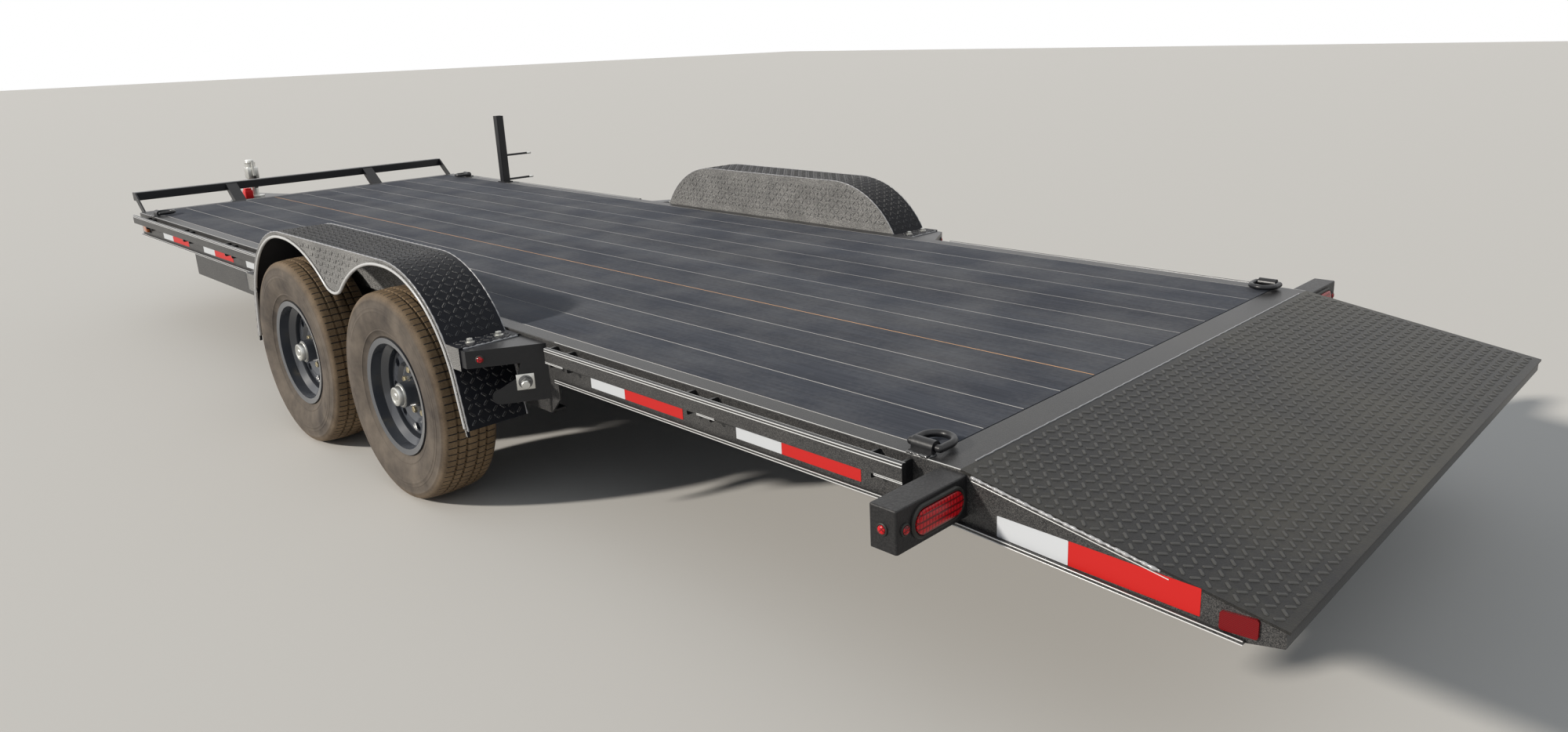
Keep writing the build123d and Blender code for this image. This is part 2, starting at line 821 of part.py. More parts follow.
# Hangers: folded plates welded under the beam, with the pins that carry the spring eyes
with BuildPart() as hangers:
    hanger_places = (
        front_axle_x + half_span,
        rear_axle_x - half_span,
    )
    hanger_outer = spring_outer + hanger_wall + 0.5
    for x in hanger_places:
        for outer in (hanger_outer, spring_y - spring_width / 2 - 0.5):
            with BuildSketch(side_plane(outer)):
                with BuildLine():
                    Polyline(
                        (x - hanger_length / 2, beam_bottom),
                        (x + hanger_length / 2, beam_bottom),
                        (x + 20, eye_height - 24),
                        (x - 20, eye_height - 24),
                        close=True,
                    )
                make_face()
            extrude(amount=hanger_wall)
        with BuildSketch(side_plane(hanger_outer + 6)):
            with Locations((x, eye_height)):
                Circle(eye_bore)
        extrude(amount=2 * hanger_wall + spring_width + 13)
    for outer in (hanger_outer, spring_y - spring_width / 2 - 0.5):
        with BuildSketch(side_plane(outer)):
            with BuildLine():
                Polyline(
                    (fender_x - 44, beam_bottom),
                    (fender_x + 44, beam_bottom),
                    (fender_x + 20, eye_height - equalizer_drop - 20),
                    (fender_x - 20, eye_height - equalizer_drop - 20),
                    close=True,
                )
            make_face()
        extrude(amount=hanger_wall)
    with BuildSketch(side_plane(hanger_outer + 6)):
        with Locations((fender_x, eye_height - equalizer_drop)):
            Circle(eye_bore)
    extrude(amount=2 * hanger_wall + spring_width + 13)
keep_pair("spring_hangers", hangers.part)

# Equalizer: hangs on the middle pin and carries the inner eyes of both springs on shackle plates
inner_eye = axle_spacing / 2 - half_span
equalizer_z = eye_height - equalizer_drop
corner_eye = inner_eye - 40
with BuildPart() as equalizer:
    with BuildSketch(side_plane(spring_outer - 1)):
        with BuildLine():
            Polyline(
                (fender_x - corner_eye, equalizer_z + 20),
                (fender_x + corner_eye, equalizer_z + 20),
                (fender_x + corner_eye + 14, equalizer_z + 4),
                (fender_x + corner_eye, equalizer_z - 12),
                (fender_x, equalizer_z - 22),
                (fender_x - corner_eye, equalizer_z - 12),
                (fender_x - corner_eye - 14, equalizer_z + 4),
                close=True,
            )
        make_face()
        with Locations((fender_x, equalizer_z)):
            Circle(eye_bore + eye_clearance, mode=Mode.SUBTRACT)
    extrude(amount=spring_width - 2)
    shackle_outer = spring_outer + 0.3 + shackle_wall
    for side in (1, -1):
        eye = (fender_x + side * inner_eye, eye_height)
        corner = (fender_x + side * corner_eye, equalizer_z + 4)
        for outer in (shackle_outer, spring_y - spring_width / 2 - 0.3):
            with BuildSketch(side_plane(outer)):
                with Locations(((eye[0] + corner[0]) / 2, (eye[1] + corner[1]) / 2)):
                    SlotCenterToCenter(
                        hypot(eye[0] - corner[0], eye[1] - corner[1]), 26,
                        rotation=degrees(atan2(eye[1] - corner[1], eye[0] - corner[0])),
                    )
            extrude(amount=shackle_wall)
        with BuildSketch(side_plane(shackle_outer + 5)):
            with Locations(eye, corner):
                Circle(eye_bore)
        extrude(amount=2 * (shackle_outer + 5 - spring_y))
keep_pair("equalizer", equalizer.part)

# Fender: a sheet over both wheels, with a full inner side and a scalloped outer side
flare = radians(fender_flare)


def fender_outline(inset, bottom):
    """Points of the fender's outline, moved in by inset, as a closed wire over the axle centre."""
    radius = fender_corner_radius - inset
    centre_z = fender_top - fender_corner_radius
    centre_x = fender_half_at_deck - sqrt(fender_corner_radius ** 2 - (deck_height - centre_z) ** 2)
    start = (centre_x + radius * cos(flare), centre_z + radius * sin(flare))
    foot = (start[0] + (start[1] - bottom) * tan(flare), bottom)
    middle = (centre_x + radius * sin(radians(45 - fender_flare / 2)),
              centre_z + radius * cos(radians(45 - fender_flare / 2)))
    top = (centre_x, centre_z + radius)
    return start, foot, middle, top


def fender_face(inset, bottom):
    """Draw the outline as a closed wire in the current sketch."""
    start, foot, middle, top = fender_outline(inset, bottom)
    with BuildLine() as outline:
        Polyline((fender_x + top[0], top[1]), (fender_x - top[0], top[1]))
        ThreePointArc(
            (fender_x - top[0], top[1]), (fender_x - middle[0], middle[1]), (fender_x - start[0], start[1])
        )
        Polyline(
            (fender_x - start[0], start[1]),
            (fender_x - foot[0], foot[1]),
            (fender_x + foot[0], foot[1]),
            (fender_x + start[0], start[1]),
        )
        ThreePointArc(
            (fender_x + start[0], start[1]), (fender_x + middle[0], middle[1]), (fender_x + top[0], top[1])
        )
    make_face(outline.edges())


def arch_face(inset, mode=Mode.ADD):
    """Draw the wheel opening: two arches that meet round the foot of the teardrop between the wheels."""
    start, foot, middle, top = fender_outline(inset, fender_bottom - 20)
    offset_x = axle_spacing / 2
    low = teardrop_bottom - (inset - fender_edge)
    small = teardrop_radius + (inset - fender_edge)
    drop = top[1] - low
    # The arch runs level over the axle and touches the small circle at the foot of the teardrop
    large = (offset_x ** 2 + (drop - small) ** 2 - small ** 2) / (2 * drop)
    centre_z = top[1] - large
    foot_z = low + small
    lean = atan2(foot_z - centre_z, -offset_x)
    touch = (offset_x + large * cos(lean), centre_z + large * sin(lean))
    halfway = radians(90 + degrees(lean)) / 2
    mid = (offset_x + large * cos(halfway), centre_z + large * sin(halfway))
    with BuildLine() as opening:
        for side in (1, -1):
            ThreePointArc(
                (fender_x + side * offset_x, top[1]),
                (fender_x + side * mid[0], mid[1]),
                (fender_x + side * touch[0], touch[1]),
            )
            Line((fender_x + side * offset_x, top[1]), (fender_x + side * top[0], top[1]))
            ThreePointArc(
                (fender_x + side * top[0], top[1]),
                (fender_x + side * middle[0], middle[1]),
                (fender_x + side * start[0], start[1]),
            )
            Line((fender_x + side * start[0], start[1]), (fender_x + side * foot[0], foot[1]))
        ThreePointArc(
            (fender_x + touch[0], touch[1]), (fender_x, low), (fender_x - touch[0], touch[1])
        )
        Line((fender_x + foot[0], foot[1]), (fender_x - foot[0], foot[1]))
    make_face(opening.edges(), mode=mode)


fender_width = fender_outer_y - fender_inner_y
with BuildPart() as fender:
    with BuildSketch(side_plane(fender_outer_y)):
        fender_face(0, fender_bottom)
    extrude(amount=fender_width)
    with BuildSketch(side_plane(fender_outer_y - fender_wall)):
        fender_face(fender_wall, fender_bottom - 20)
    extrude(amount=fender_width - 2 * fender_wall, mode=Mode.SUBTRACT)
    with BuildSketch(side_plane(fender_outer_y + 1)):
        arch_face(fender_edge)
    extrude(amount=fender_wall + 2, mode=Mode.SUBTRACT)
    # Below the deck the inner side is open to the frame
    with BuildSketch(side_plane(fender_inner_y + fender_wall + 1)):
        with Locations((fender_x, (fender_bottom - 20 + deck_height - 8) / 2)):
            Rectangle(2 * (fender_half_at_deck + fender_foot), deck_height - 8 - fender_bottom + 20)
    extrude(amount=fender_wall + 2, mode=Mode.SUBTRACT)
    # Rolled edge round the wheel opening
    with BuildSketch(side_plane(fender_outer_y + 2)):
        arch_face(fender_edge - fender_bead)
        arch_face(fender_edge, mode=Mode.SUBTRACT)
    extrude(amount=fender_bead)
    # Feet that are bolted on the brackets
    foot_top = deck_height - fender_foot_drop
    for side in (1, -1):
        foot_inner = fender_half_at_deck + 2
        foot_outer = fender_half_at_deck + fender_foot
        with BuildSketch(Plane.XY.offset(foot_top)):
            with Locations((fender_x + side * (foot_inner + foot_outer) / 2,
                            (fender_inner_y + fender_outer_y) / 2)):
                Rectangle(foot_outer - foot_inner, fender_width)
        extrude(amount=-fender_foot_wall)
        # The outer edge of the foot is bent down over the end of the bracket
        with BuildSketch(side_plane(fender_outer_y)):
            with Locations((fender_x + side * (foot_inner + foot_outer) / 2, foot_top - fender_end_drop / 2)):
                Rectangle(foot_outer - foot_inner, fender_end_drop)
        extrude(amount=fender_wall)
keep_pair("fender", fender.part)

# Fender brackets: a folded box under each foot, wider at the rail, with a gusset below its slanting face
tube_top_z = foot_top - fender_foot_wall
tube_bottom_z = tube_top_z - bracket_depth
bracket_end = fender_outer_y - fender_wall
with BuildPart() as brackets:
    for side in (1, -1):
        wheel_side = fender_half_at_deck + fender_foot - bracket_under
        outer_side = fender_half_at_deck + fender_foot + bracket_past
        for wall, mode in ((0, Mode.ADD), (bracket_wall, Mode.SUBTRACT)):
            with BuildSketch(Plane.XY.offset(tube_bottom_z)):
                with BuildLine():
                    Polyline(
                        (fender_x + side * (wheel_side + wall), half),
                        (fender_x + side * (wheel_side + wall), bracket_end - wall),
                        (fender_x + side * (outer_side - wall), bracket_end - wall),
                        (fender_x + side * (outer_side + bracket_widening - wall), half),
                        close=True,
                    )
                make_face()
            extrude(amount=bracket_depth - wall, mode=mode)
        # Local x of the slanting plane runs from the bracket's outer corner to the rail
        run = Vector(side * bracket_widening, half - bracket_end, 0)
        slant = Plane(
            origin=(fender_x + side * outer_side, bracket_end, 0),
            x_dir=run,
            z_dir=run.cross(Vector(0, 0, 1)),
        )
        nose_z = tube_bottom_z - gusset_nose_drop
        with BuildSketch(slant):
            with BuildLine():
                Polyline(
                    (run.length + gusset_wall, tube_bottom_z + 1),
                    (gusset_neck, tube_bottom_z + 1),
                    (gusset_neck - 15, tube_bottom_z - 2 * gusset_nose),
                    (gusset_nose_at, nose_z + gusset_nose),
                    (gusset_nose_at, nose_z - gusset_nose),
                    (run.length + gusset_wall, nose_z - gusset_nose),
                    close=True,
                )
            make_face()
            with Locations((gusset_nose_at, nose_z)):
                Circle(gusset_nose)
        extrude(amount=side * gusset_wall)
        # A short bolt end on the gusset
        with BuildSketch(slant):
            with Locations((gusset_pin_at, tube_bottom_z - gusset_pin_drop)):
                Circle(gusset_pin)
        extrude(amount=-side * gusset_pin)
    # Everything ends at the outer face of the rail
    with BuildSketch(side_plane(half)):
        with Locations((fender_x, tube_top_z - 2 * bracket_depth)):
            Rectangle(4 * fender_half_at_deck, 6 * bracket_depth)
    extrude(amount=rail_flange, mode=Mode.SUBTRACT)
keep_pair("fender_brackets", brackets.part)

# Light boxes: folded boxes that stand out from the rail, with an oval lamp in the rear face
box_top = deck_height - box_top_drop
box_x = hinge_x + box_ahead
with BuildPart() as light_box:
    with BuildSketch(Plane.XY.offset(box_top - box_height)):
        with Locations((box_x + box_length / 2, (half + box_outer_y) / 2)):
            Rectangle(box_length, box_outer_y - half)
    extrude(amount=box_height)
    fillet(light_box.edges().filter_by(Axis.Z).sort_by(Axis.Y)[-2:], radius=6)
    fillet(light_box.edges().group_by(Axis.Z)[-1].sort_by(Axis.Y)[-3:], radius=4)
keep_pair("light_box", light_box.part)

with BuildPart() as tail_lamp:
    lamp_y = box_outer_y - lamp_in
    lamp_z = box_top - box_height + lamp_up
    with BuildSketch(Plane.YZ.offset(box_x)):
        with Locations((lamp_y, lamp_z)):
            SlotOverall(lamp_length, lamp_height)
    extrude(amount=-lamp_proud)
    with BuildSketch(Plane.YZ.offset(box_x)):
        with Locations((box_outer_y - marker_in, lamp_z)):
            Circle(9)
    extrude(amount=-5)
    with BuildSketch(side_plane(box_outer_y + 5)):
        with Locations((box_x + box_length / 2, lamp_z)):
            Circle(10)
    extrude(amount=5)
keep_pair("tail_lamps", tail_lamp.part)

# D-rings: a folded strap over the bar of each ring, and the ring lying inboard on the deck
ring_z = deck_height + ring_lift
strap_inner = ring_wire + ring_clearance
strap_outer = strap_inner + strap_wall
with BuildPart() as ring_straps:
    for side in (1, -1):
        for place in ring_places:
            x = hinge_x + place
            with BuildSketch(Plane.YZ.offset(x - strap_width / 2)):
                with Locations((side * ring_y, ring_z)):
                    Circle(strap_outer)
                with Locations((side * ring_y, (ring_z + deck_height) / 2)):
                    Rectangle(2 * strap_outer, ring_z - deck_height)
                with Locations((side * (ring_y + strap_outer + strap_foot / 2 - 2), deck_height + 3)):
                    Rectangle(strap_foot + 4, 6)
                with Locations((side * ring_y, deck_height - 20)):
                    Rectangle(200, 40, mode=Mode.SUBTRACT)
                with Locations((side * ring_y, ring_z)):
                    Circle(strap_inner, mode=Mode.SUBTRACT)
                with Locations((side * (ring_y - 20), ring_z - 10)):
                    Rectangle(40, 20, mode=Mode.SUBTRACT)
            extrude(amount=strap_width)
keep("ring_straps", ring_straps.part)

ring_bodies = (
    ("left_rear_ring", 1, ring_places[0]),
    ("right_rear_ring", -1, ring_places[0]),
    ("left_front_ring", 1, ring_places[1]),
    ("right_front_ring", -1, ring_places[1]),
)
for ring_name, side, place in ring_bodies:
    x = hinge_x + place
    bend = (ring_width - 2 * ring_wire) / 2
    with BuildPart() as ring:
        with BuildLine() as ring_path:
            inner_y = side * (ring_y - (ring_length - 2 * ring_wire - bend))
            tip_y = side * (ring_y - (ring_length - 2 * ring_wire))
            Polyline(
                (x, side * ring_y, ring_z),
                (x + bend, side * ring_y, ring_z),
                (x + bend, inner_y, ring_z),
            )
            ThreePointArc((x + bend, inner_y, ring_z), (x, tip_y, ring_z), (x - bend, inner_y, ring_z))
            Polyline(
                (x - bend, inner_y, ring_z),
                (x - bend, side * ring_y, ring_z),
                (x, side * ring_y, ring_z),
            )
        with BuildSketch(Plane.YZ.offset(x)):
            with Locations((side * ring_y, ring_z)):
                Circle(ring_wire)
        sweep(path=ring_path.line, transition=Transition.ROUND)
    keep(ring_name, ring.part)

# Front rail: a tube ahead of the deck, on a flat arm at each end and two wider arms between them
with BuildPart() as front_rail:
    rail_top = deck_height + front_rail_height
    rail_x = front_x + front_rail_ahead
    with BuildSketch(side_plane(front_rail_half)):
        with Locations((rail_x + front_rail_tube / 2, rail_top - front_rail_tube / 2)):
            RectangleRounded(front_rail_tube, front_rail_tube, 5)
            RectangleRounded(front_rail_tube - 2 * front_rail_wall, front_rail_tube - 2 * front_rail_wall, 2,
                             mode=Mode.SUBTRACT)
    extrude(amount=2 * front_rail_half)
    for arm_y in (-front_post_y, front_post_y):
        with BuildSketch(side_plane(arm_y + front_post_width / 2)):
            with BuildLine():
                Polyline(
                    (front_x, deck_height),
                    (front_x, deck_height - front_rail_tube),
                    (rail_x + 1, rail_top - front_rail_tube + 6),
                    (rail_x + 1, rail_top - 6),
                    close=True,
                )
            make_face()
        extrude(amount=front_post_width)
    for end_y in (front_rail_half + 1, -front_rail_half + 7):
        with BuildSketch(side_plane(end_y)):
            with BuildLine():
                Polyline(
                    (front_x, deck_height),
                    (front_x, deck_height - front_rail_tube),
                    (rail_x, rail_top - front_rail_tube),
                    (rail_x + front_rail_tube, rail_top - front_rail_tube),
                    (rail_x + front_rail_tube, rail_top),
                    (rail_x, rail_top),
                    close=True,
                )
            make_face()
        extrude(amount=8)
keep("front_rail", front_rail.part)

# Spare-wheel post on the right side rail, with two studs that point outwards
with BuildPart() as spare_post:
    post_x = front_x - post_back
    post_outer_y = -(half - post_inset)
    post_mid_y = post_outer_y + post_tube / 2
    with BuildSketch(Plane.XY.offset(deck_height)):
        with Locations((post_x, post_mid_y)):
            Rectangle(post_tube + 40, post_tube + 2 * post_inset)
    extrude(amount=post_plate)
    with BuildSketch(Plane.XY.offset(deck_height + post_plate)):
        with Locations((post_x, post_mid_y)):
            RectangleRounded(post_tube, post_tube, 5)
            RectangleRounded(post_tube - 2 * post_wall, post_tube - 2 * post_wall, 2, mode=Mode.SUBTRACT)
    extrude(amount=post_height - post_plate)
    with BuildSketch(side_plane(post_outer_y + post_wall)):
        with Locations((post_x, deck_height + stud_centre_up)):
            with GridLocations(1, stud_spread, 1, 2):
                Circle(stud_radius)
    extrude(amount=stud_length + post_wall)
keep("spare_post", spare_post.part)

os.makedirs("parts", exist_ok=True)
for part_name, shape in parts.items():
    export_step(shape, f"parts/{part_name}.step")
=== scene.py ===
import math

import bmesh
import bpy
from mathutils import Matrix, Vector


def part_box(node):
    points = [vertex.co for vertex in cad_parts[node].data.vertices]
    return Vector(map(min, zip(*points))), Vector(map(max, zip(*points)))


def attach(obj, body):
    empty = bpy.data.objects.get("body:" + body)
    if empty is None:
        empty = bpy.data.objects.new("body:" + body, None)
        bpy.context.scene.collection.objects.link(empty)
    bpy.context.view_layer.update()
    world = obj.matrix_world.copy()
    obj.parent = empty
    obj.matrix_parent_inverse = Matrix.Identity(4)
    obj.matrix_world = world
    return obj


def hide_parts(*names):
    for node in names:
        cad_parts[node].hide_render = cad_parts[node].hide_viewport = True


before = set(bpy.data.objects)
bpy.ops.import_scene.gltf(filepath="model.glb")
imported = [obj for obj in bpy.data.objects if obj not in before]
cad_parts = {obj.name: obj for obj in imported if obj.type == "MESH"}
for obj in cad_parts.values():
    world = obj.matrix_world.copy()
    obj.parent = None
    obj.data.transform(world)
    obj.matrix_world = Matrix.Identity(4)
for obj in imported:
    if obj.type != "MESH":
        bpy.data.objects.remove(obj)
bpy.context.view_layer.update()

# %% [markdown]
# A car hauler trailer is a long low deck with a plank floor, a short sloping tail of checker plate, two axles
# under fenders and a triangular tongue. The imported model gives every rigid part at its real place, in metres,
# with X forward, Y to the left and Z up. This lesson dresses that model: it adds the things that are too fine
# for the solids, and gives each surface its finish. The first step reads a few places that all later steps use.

rail_low, rail_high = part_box("left_side_rail")
light_box_low, light_box_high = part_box("left_light_box")
HINGE = rail_low.x
DECK = rail_high.z
HALF = light_box_low.y
WHEELS = {}
for wheel in ("left_front", "left_rear", "right_front", "right_rear"):
    tyre_low, tyre_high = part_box(wheel + "_tyre")
    WHEELS[wheel] = (tyre_low + tyre_high) / 2
print("deck at", round(DECK, 3), "tail starts at", round(HINGE, 4), "half width", round(HALF, 3))

# %% [markdown]
# The picture to match was taken by someone who stood behind the left rear corner, a head above the deck. A
# camera is a point, three directions and a lens, so the clearest way is to write those down: the heading and
# the tilt give the direction of view, and the roll turns the picture a little, as a hand-held camera does.

# %% Camera
def place_camera(place, heading, tilt, roll, lens, shift_x, shift_y):
    heading, tilt, roll = (math.radians(angle) for angle in (heading, tilt, roll))
    ahead = Vector((math.cos(heading) * math.cos(tilt), math.sin(heading) * math.cos(tilt), math.sin(tilt)))
    level = ahead.cross(Vector((0, 0, 1))).normalized()
    upward = level.cross(ahead)
    right = level * math.cos(roll) + upward * math.sin(roll)
    up = upward * math.cos(roll) - level * math.sin(roll)
    data = bpy.data.cameras.new("camera")
    data.lens = lens
    data.sensor_width = 36
    data.shift_x = shift_x
    data.shift_y = shift_y
    data.clip_end = 200
    camera = bpy.data.objects.new("camera", data)
    bpy.context.collection.objects.link(camera)
    camera.matrix_world = Matrix.Translation(place) @ Matrix((right, up, -ahead)).transposed().to_4x4()
    bpy.context.scene.camera = camera
    return camera


camera = place_camera((HINGE - 1.3187, 2.7583, 1.6120), -46.822, -15.397, -1.794, 24.325, -0.0432, -0.02875)
print("camera lens", camera.data.lens)

# %% [markdown]
# Dark paint looks like nothing at all without something to reflect. In a studio that is a pale room: the floor
# is plain and pale, and the background is white to the eye and to reflections, while the light that falls on
# the trailer stays at an ordinary level. Light Path tells those rays apart. A small warm sun stands rather low
# at the front left, and a weak wide one fills from above and behind.

# %% Floor, background and lamps
def deselect():
    bpy.ops.object.select_all(action="DESELECT")


def take_up(piece):
    """Select one piece alone, and make it the one that the operators act on."""
    deselect()
    bpy.context.view_layer.objects.active = piece
    piece.select_set(True)


def settle(piece, place=None):
    """Put a piece at a place, if one is given, and move its place into its mesh."""
    if place is not None:
        piece.matrix_world = place
    take_up(piece)
    bpy.ops.object.transform_apply(location=True, rotation=True, scale=True)
    return piece


def add_node(tree, kind, inputs=(), **settings):
    """Add a shader node. An input is given a value, or the output of another node."""
    node = tree.nodes.new("ShaderNode" + kind)
    for name, value in settings.items():
        setattr(node, name, value)
    for label, value in dict(inputs).items():
        if isinstance(value, bpy.types.NodeSocket):
            tree.links.new(value, node.inputs[label])
        else:
            node.inputs[label].default_value = value
    return node


def start_material(name, colour, roughness, metallic=0.0, coat=0.0, coat_roughness=0.1, shine=0.3):
    """A new material, its node tree and the sockets of its shader, with their plain numbers set."""
    material = bpy.data.materials.new(name)
    material.use_nodes = True
    material.diffuse_color = (*colour, 1)
    shader = material.node_tree.nodes["Principled BSDF"].inputs
    for label, value in (("Base Color", (*colour, 1)), ("Roughness", roughness), ("Metallic", metallic),
                         ("Coat Weight", coat), ("Coat Roughness", coat_roughness), ("Specular IOR Level", shine)):
        shader[label].default_value = value
    return material, material.node_tree, shader


def build_floor():
    deselect()
    bpy.ops.mesh.primitive_grid_add(x_subdivisions=4, y_subdivisions=4, size=120, location=(0, 0, -0.001))
    floor = settle(bpy.context.object)
    floor.name = "floor"
    floor.data.materials.append(start_material("floor_pale", (0.62, 0.60, 0.57), 0.9, shine=0.5)[0])


def light_the_room():
    world = bpy.data.worlds.new("room")
    bpy.context.scene.world = world
    world.use_nodes = True
    tree = world.node_tree
    tree.nodes.clear()
    path = add_node(tree, "LightPath").outputs
    seen = add_node(tree, "Math", {0: path["Is Camera Ray"], 1: path["Is Glossy Ray"]}, operation="MAXIMUM")
    seen = add_node(tree, "Math", {0: seen.outputs[0], 1: path["Is Transmission Ray"]}, operation="MAXIMUM")
    falling = add_node(tree, "Background", {"Color": (0.86, 0.93, 1.0, 1), "Strength": 0.30})
    shown = add_node(tree, "Background", {"Color": (1, 1, 1, 1), "Strength": 1.0})
    mix = add_node(tree, "MixShader", {0: seen.outputs[0], 1: falling.outputs[0], 2: shown.outputs[0]})
    add_node(tree, "OutputWorld", {"Surface": mix.outputs[0]})


def add_sun(name, toward, strength, softness, colour):
    data = bpy.data.lights.new(name, "SUN")
    data.energy = strength
    data.angle = math.radians(softness)
    data.color = colour
    lamp = bpy.data.objects.new(name, data)
    bpy.context.collection.objects.link(lamp)
    lamp.matrix_world = Vector(toward).normalized().to_track_quat("Z", "Y").to_matrix().to_4x4()


build_floor()
light_the_room()
add_sun("key_lamp", (0.87, 1.70, 1.00), 3.5, 4, (1.0, 0.95, 0.87))
add_sun("fill_lamp", (-0.9, 0.3, 1.6), 0.40, 60, (0.88, 0.94, 1.0))
bpy.context.scene.view_settings.view_transform = "Standard"

# %% [markdown]
# Three effects come back in many finishes, so each is one node group. The first is the fine pebble of sprayed
# paint. The second is dust: soft patches at two sizes, stronger on faces that look up. The third is speckle:
# pale specks in the colour, like granite, most of all on faces that look sideways. They are partly road dust and
# partly painted highlights, where light would glint on the small crests of thick textured paint. A few short
# helpers name the nodes that all finishes use.

# %% Shared effects
OUTPUT_KINDS = {"Color": "NodeSocketColor", "Normal": "NodeSocketVector"}


def start_group(name, inputs, outputs):
    """A node group with named inputs, their usual values and named outputs, and the sockets inside it."""
    group = bpy.data.node_groups.new(name, "ShaderNodeTree")
    for label, value in inputs.items():
        kind = "NodeSocketColor" if isinstance(value, tuple) else "NodeSocketFloat"
        group.interface.new_socket(label, in_out="INPUT", socket_type=kind).default_value = value
    for label in outputs:
        kind = OUTPUT_KINDS.get(label, "NodeSocketFloat")
        group.interface.new_socket(label, in_out="OUTPUT", socket_type=kind)
    return group, group.nodes.new("NodeGroupInput").outputs, group.nodes.new("NodeGroupOutput").inputs


def feed(tree, sockets, sources):
    """Join outputs to sockets by the sockets' labels."""
    for label, source in sources.items():
        tree.links.new(source, sockets[label])


def object_place(tree):
    return add_node(tree, "TexCoord").outputs["Object"]


def facing(tree):
    """The X, Y and Z of the way that the surface looks."""
    return add_node(tree, "SeparateXYZ", {0: add_node(tree, "NewGeometry").outputs["Normal"]}).outputs


def noise(tree, vector, scale, detail=3.0, rough=0.5):
    inputs = {"Vector": vector, "Scale": scale, "Detail": detail, "Roughness": rough}
    return add_node(tree, "TexNoise", inputs).outputs[0]


def sums(tree, operation, *terms):
    return add_node(tree, "Math", dict(enumerate(terms)), operation=operation).outputs[0]


def spread(tree, value, low, high, to_low=0.0, to_high=1.0):
    """Stretch what lies between low and high over a new range."""
    inputs = {"Value": value, "From Min": low, "From Max": high, "To Min": to_low, "To Max": to_high}
    return add_node(tree, "MapRange", inputs).outputs[0]


def blend(tree, mask, under, over):
    return add_node(tree, "Mix", {"Factor": mask, "A": under, "B": over}, data_type="RGBA").outputs["Result"]


def relief(tree, height, strength, distance):
    return add_node(tree, "Bump", {"Height": height, "Strength": strength, "Distance": distance}).outputs["Normal"]


def ramp(tree, value, low, low_colour, high, high_colour):
    node = add_node(tree, "ValToRGB", {0: value})
    for stop, place, colour in zip(node.color_ramp.elements, (low, high), (low_colour, high_colour)):
        stop.position = place
        stop.color = (*colour, 1)
    return node.outputs[0]


def build_paint_pebble():
    group, given, out = start_group("paint_pebble", {"Scale": 320.0, "Height": 0.3}, ("Normal", "Grain"))
    grain = noise(group, object_place(group), given["Scale"], 2.0, 0.6)
    feed(group, out, {"Normal": relief(group, grain, given["Height"], 0.001), "Grain": grain})
    return group


def build_dust():
    group, given, out = start_group(
        "dust",
        {"Base": (0.02, 0.02, 0.02, 1), "Dust": (0.3, 0.27, 0.22, 1), "Amount": 0.3, "Patch Scale": 2.0},
        ("Color", "Mask"),
    )
    place = object_place(group)
    patches = noise(group, place, given["Patch Scale"], 4.0, 0.55)
    fine = noise(group, place, 60.0, 3.0, 0.6)
    patches = spread(group, sums(group, "MULTIPLY_ADD", fine, 0.35, patches), 0.55, 0.95)
    lying = spread(group, facing(group)["Z"], -0.2, 1.0, 0.25)
    mask = sums(group, "MULTIPLY", sums(group, "MULTIPLY", patches, lying), given["Amount"])
    feed(group, out, {"Color": blend(group, mask, given["Base"], given["Dust"]), "Mask": mask})
    return group


def build_speckle():
    group, given, out = start_group(
        "speckle",
        {"Base": (0.02, 0.02, 0.02, 1), "Glint And Dust": (0.3, 0.29, 0.28, 1), "Scale": 240.0, "Side": 0.5, "Flat": 0.1},
        ("Color",),
    )
    place = object_place(group)
    # Pale specks, partly dust and partly painted highlights of the paint's crests, more on faces that look sideways.
    glint_spots = spread(group, noise(group, place, given["Scale"], 2.0, 0.7), 0.40, 0.72)
    cloud = sums(group, "ADD", noise(group, place, 7.0, 3.0, 0.6), 0.5)
    look = facing(group)
    upright = sums(group, "MULTIPLY", sums(group, "ABSOLUTE", look["Y"]), given["Side"])
    lying = sums(group, "MULTIPLY", sums(group, "MAXIMUM", look["Z"], 0.0), given["Flat"])
    amount = sums(group, "MULTIPLY", sums(group, "ADD", upright, lying), cloud)
    mask = sums(group, "MULTIPLY", glint_spots, amount)
    feed(group, out, {"Color": blend(group, mask, given["Base"], given["Glint And Dust"])})
    return group


PEBBLE = build_paint_pebble()
SPECKLE = build_speckle()
DUST = build_dust()
print("shared effects", [group.name for group in bpy.data.node_groups])

# %% [markdown]
# The frame is steel sprayed black. Close up it has a fine orange-peel grain and a soft shine, and dust lies
# where it can. A finish is one material: the shader sits in it with its plain numbers on its own sockets, and
# the shared effects only send in what changes over the surface.

# %% Painted finishes
def effect(tree, group, inputs):
    return add_node(tree, "Group", inputs, node_tree=group).outputs


def paint(name, colour, roughness, unevenness, dust, coat, pebble_scale=320.0, pebble=0.25, patch=1.7,
          dust_colour=(0.30, 0.28, 0.25, 1), speckle=None, shine=0.3):
    material, tree, shader = start_material(name, colour, roughness, 0.0, coat, 0.15, shine)
    film = effect(tree, DUST, {"Base": (*colour, 1), "Dust": dust_colour, "Amount": dust, "Patch Scale": patch})
    grain = effect(tree, PEBBLE, {"Scale": pebble_scale, "Height": pebble})
    skin = film["Color"]
    if speckle:
        scale, side, flat, glint_and_dust = speckle
        inputs = {"Base": skin, "Glint And Dust": (*glint_and_dust, 1), "Scale": scale, "Side": side, "Flat": flat}
        skin = effect(tree, SPECKLE, inputs)["Color"]
    rough = sums(tree, "MULTIPLY_ADD", film["Mask"], 0.5, roughness)
    rough = sums(tree, "MULTIPLY_ADD", grain["Grain"], unevenness, rough)
    feed(tree, shader, {"Base Color": skin, "Normal": grain["Normal"], "Roughness": spread(tree, rough, 0.0, 1.0)})
    return material


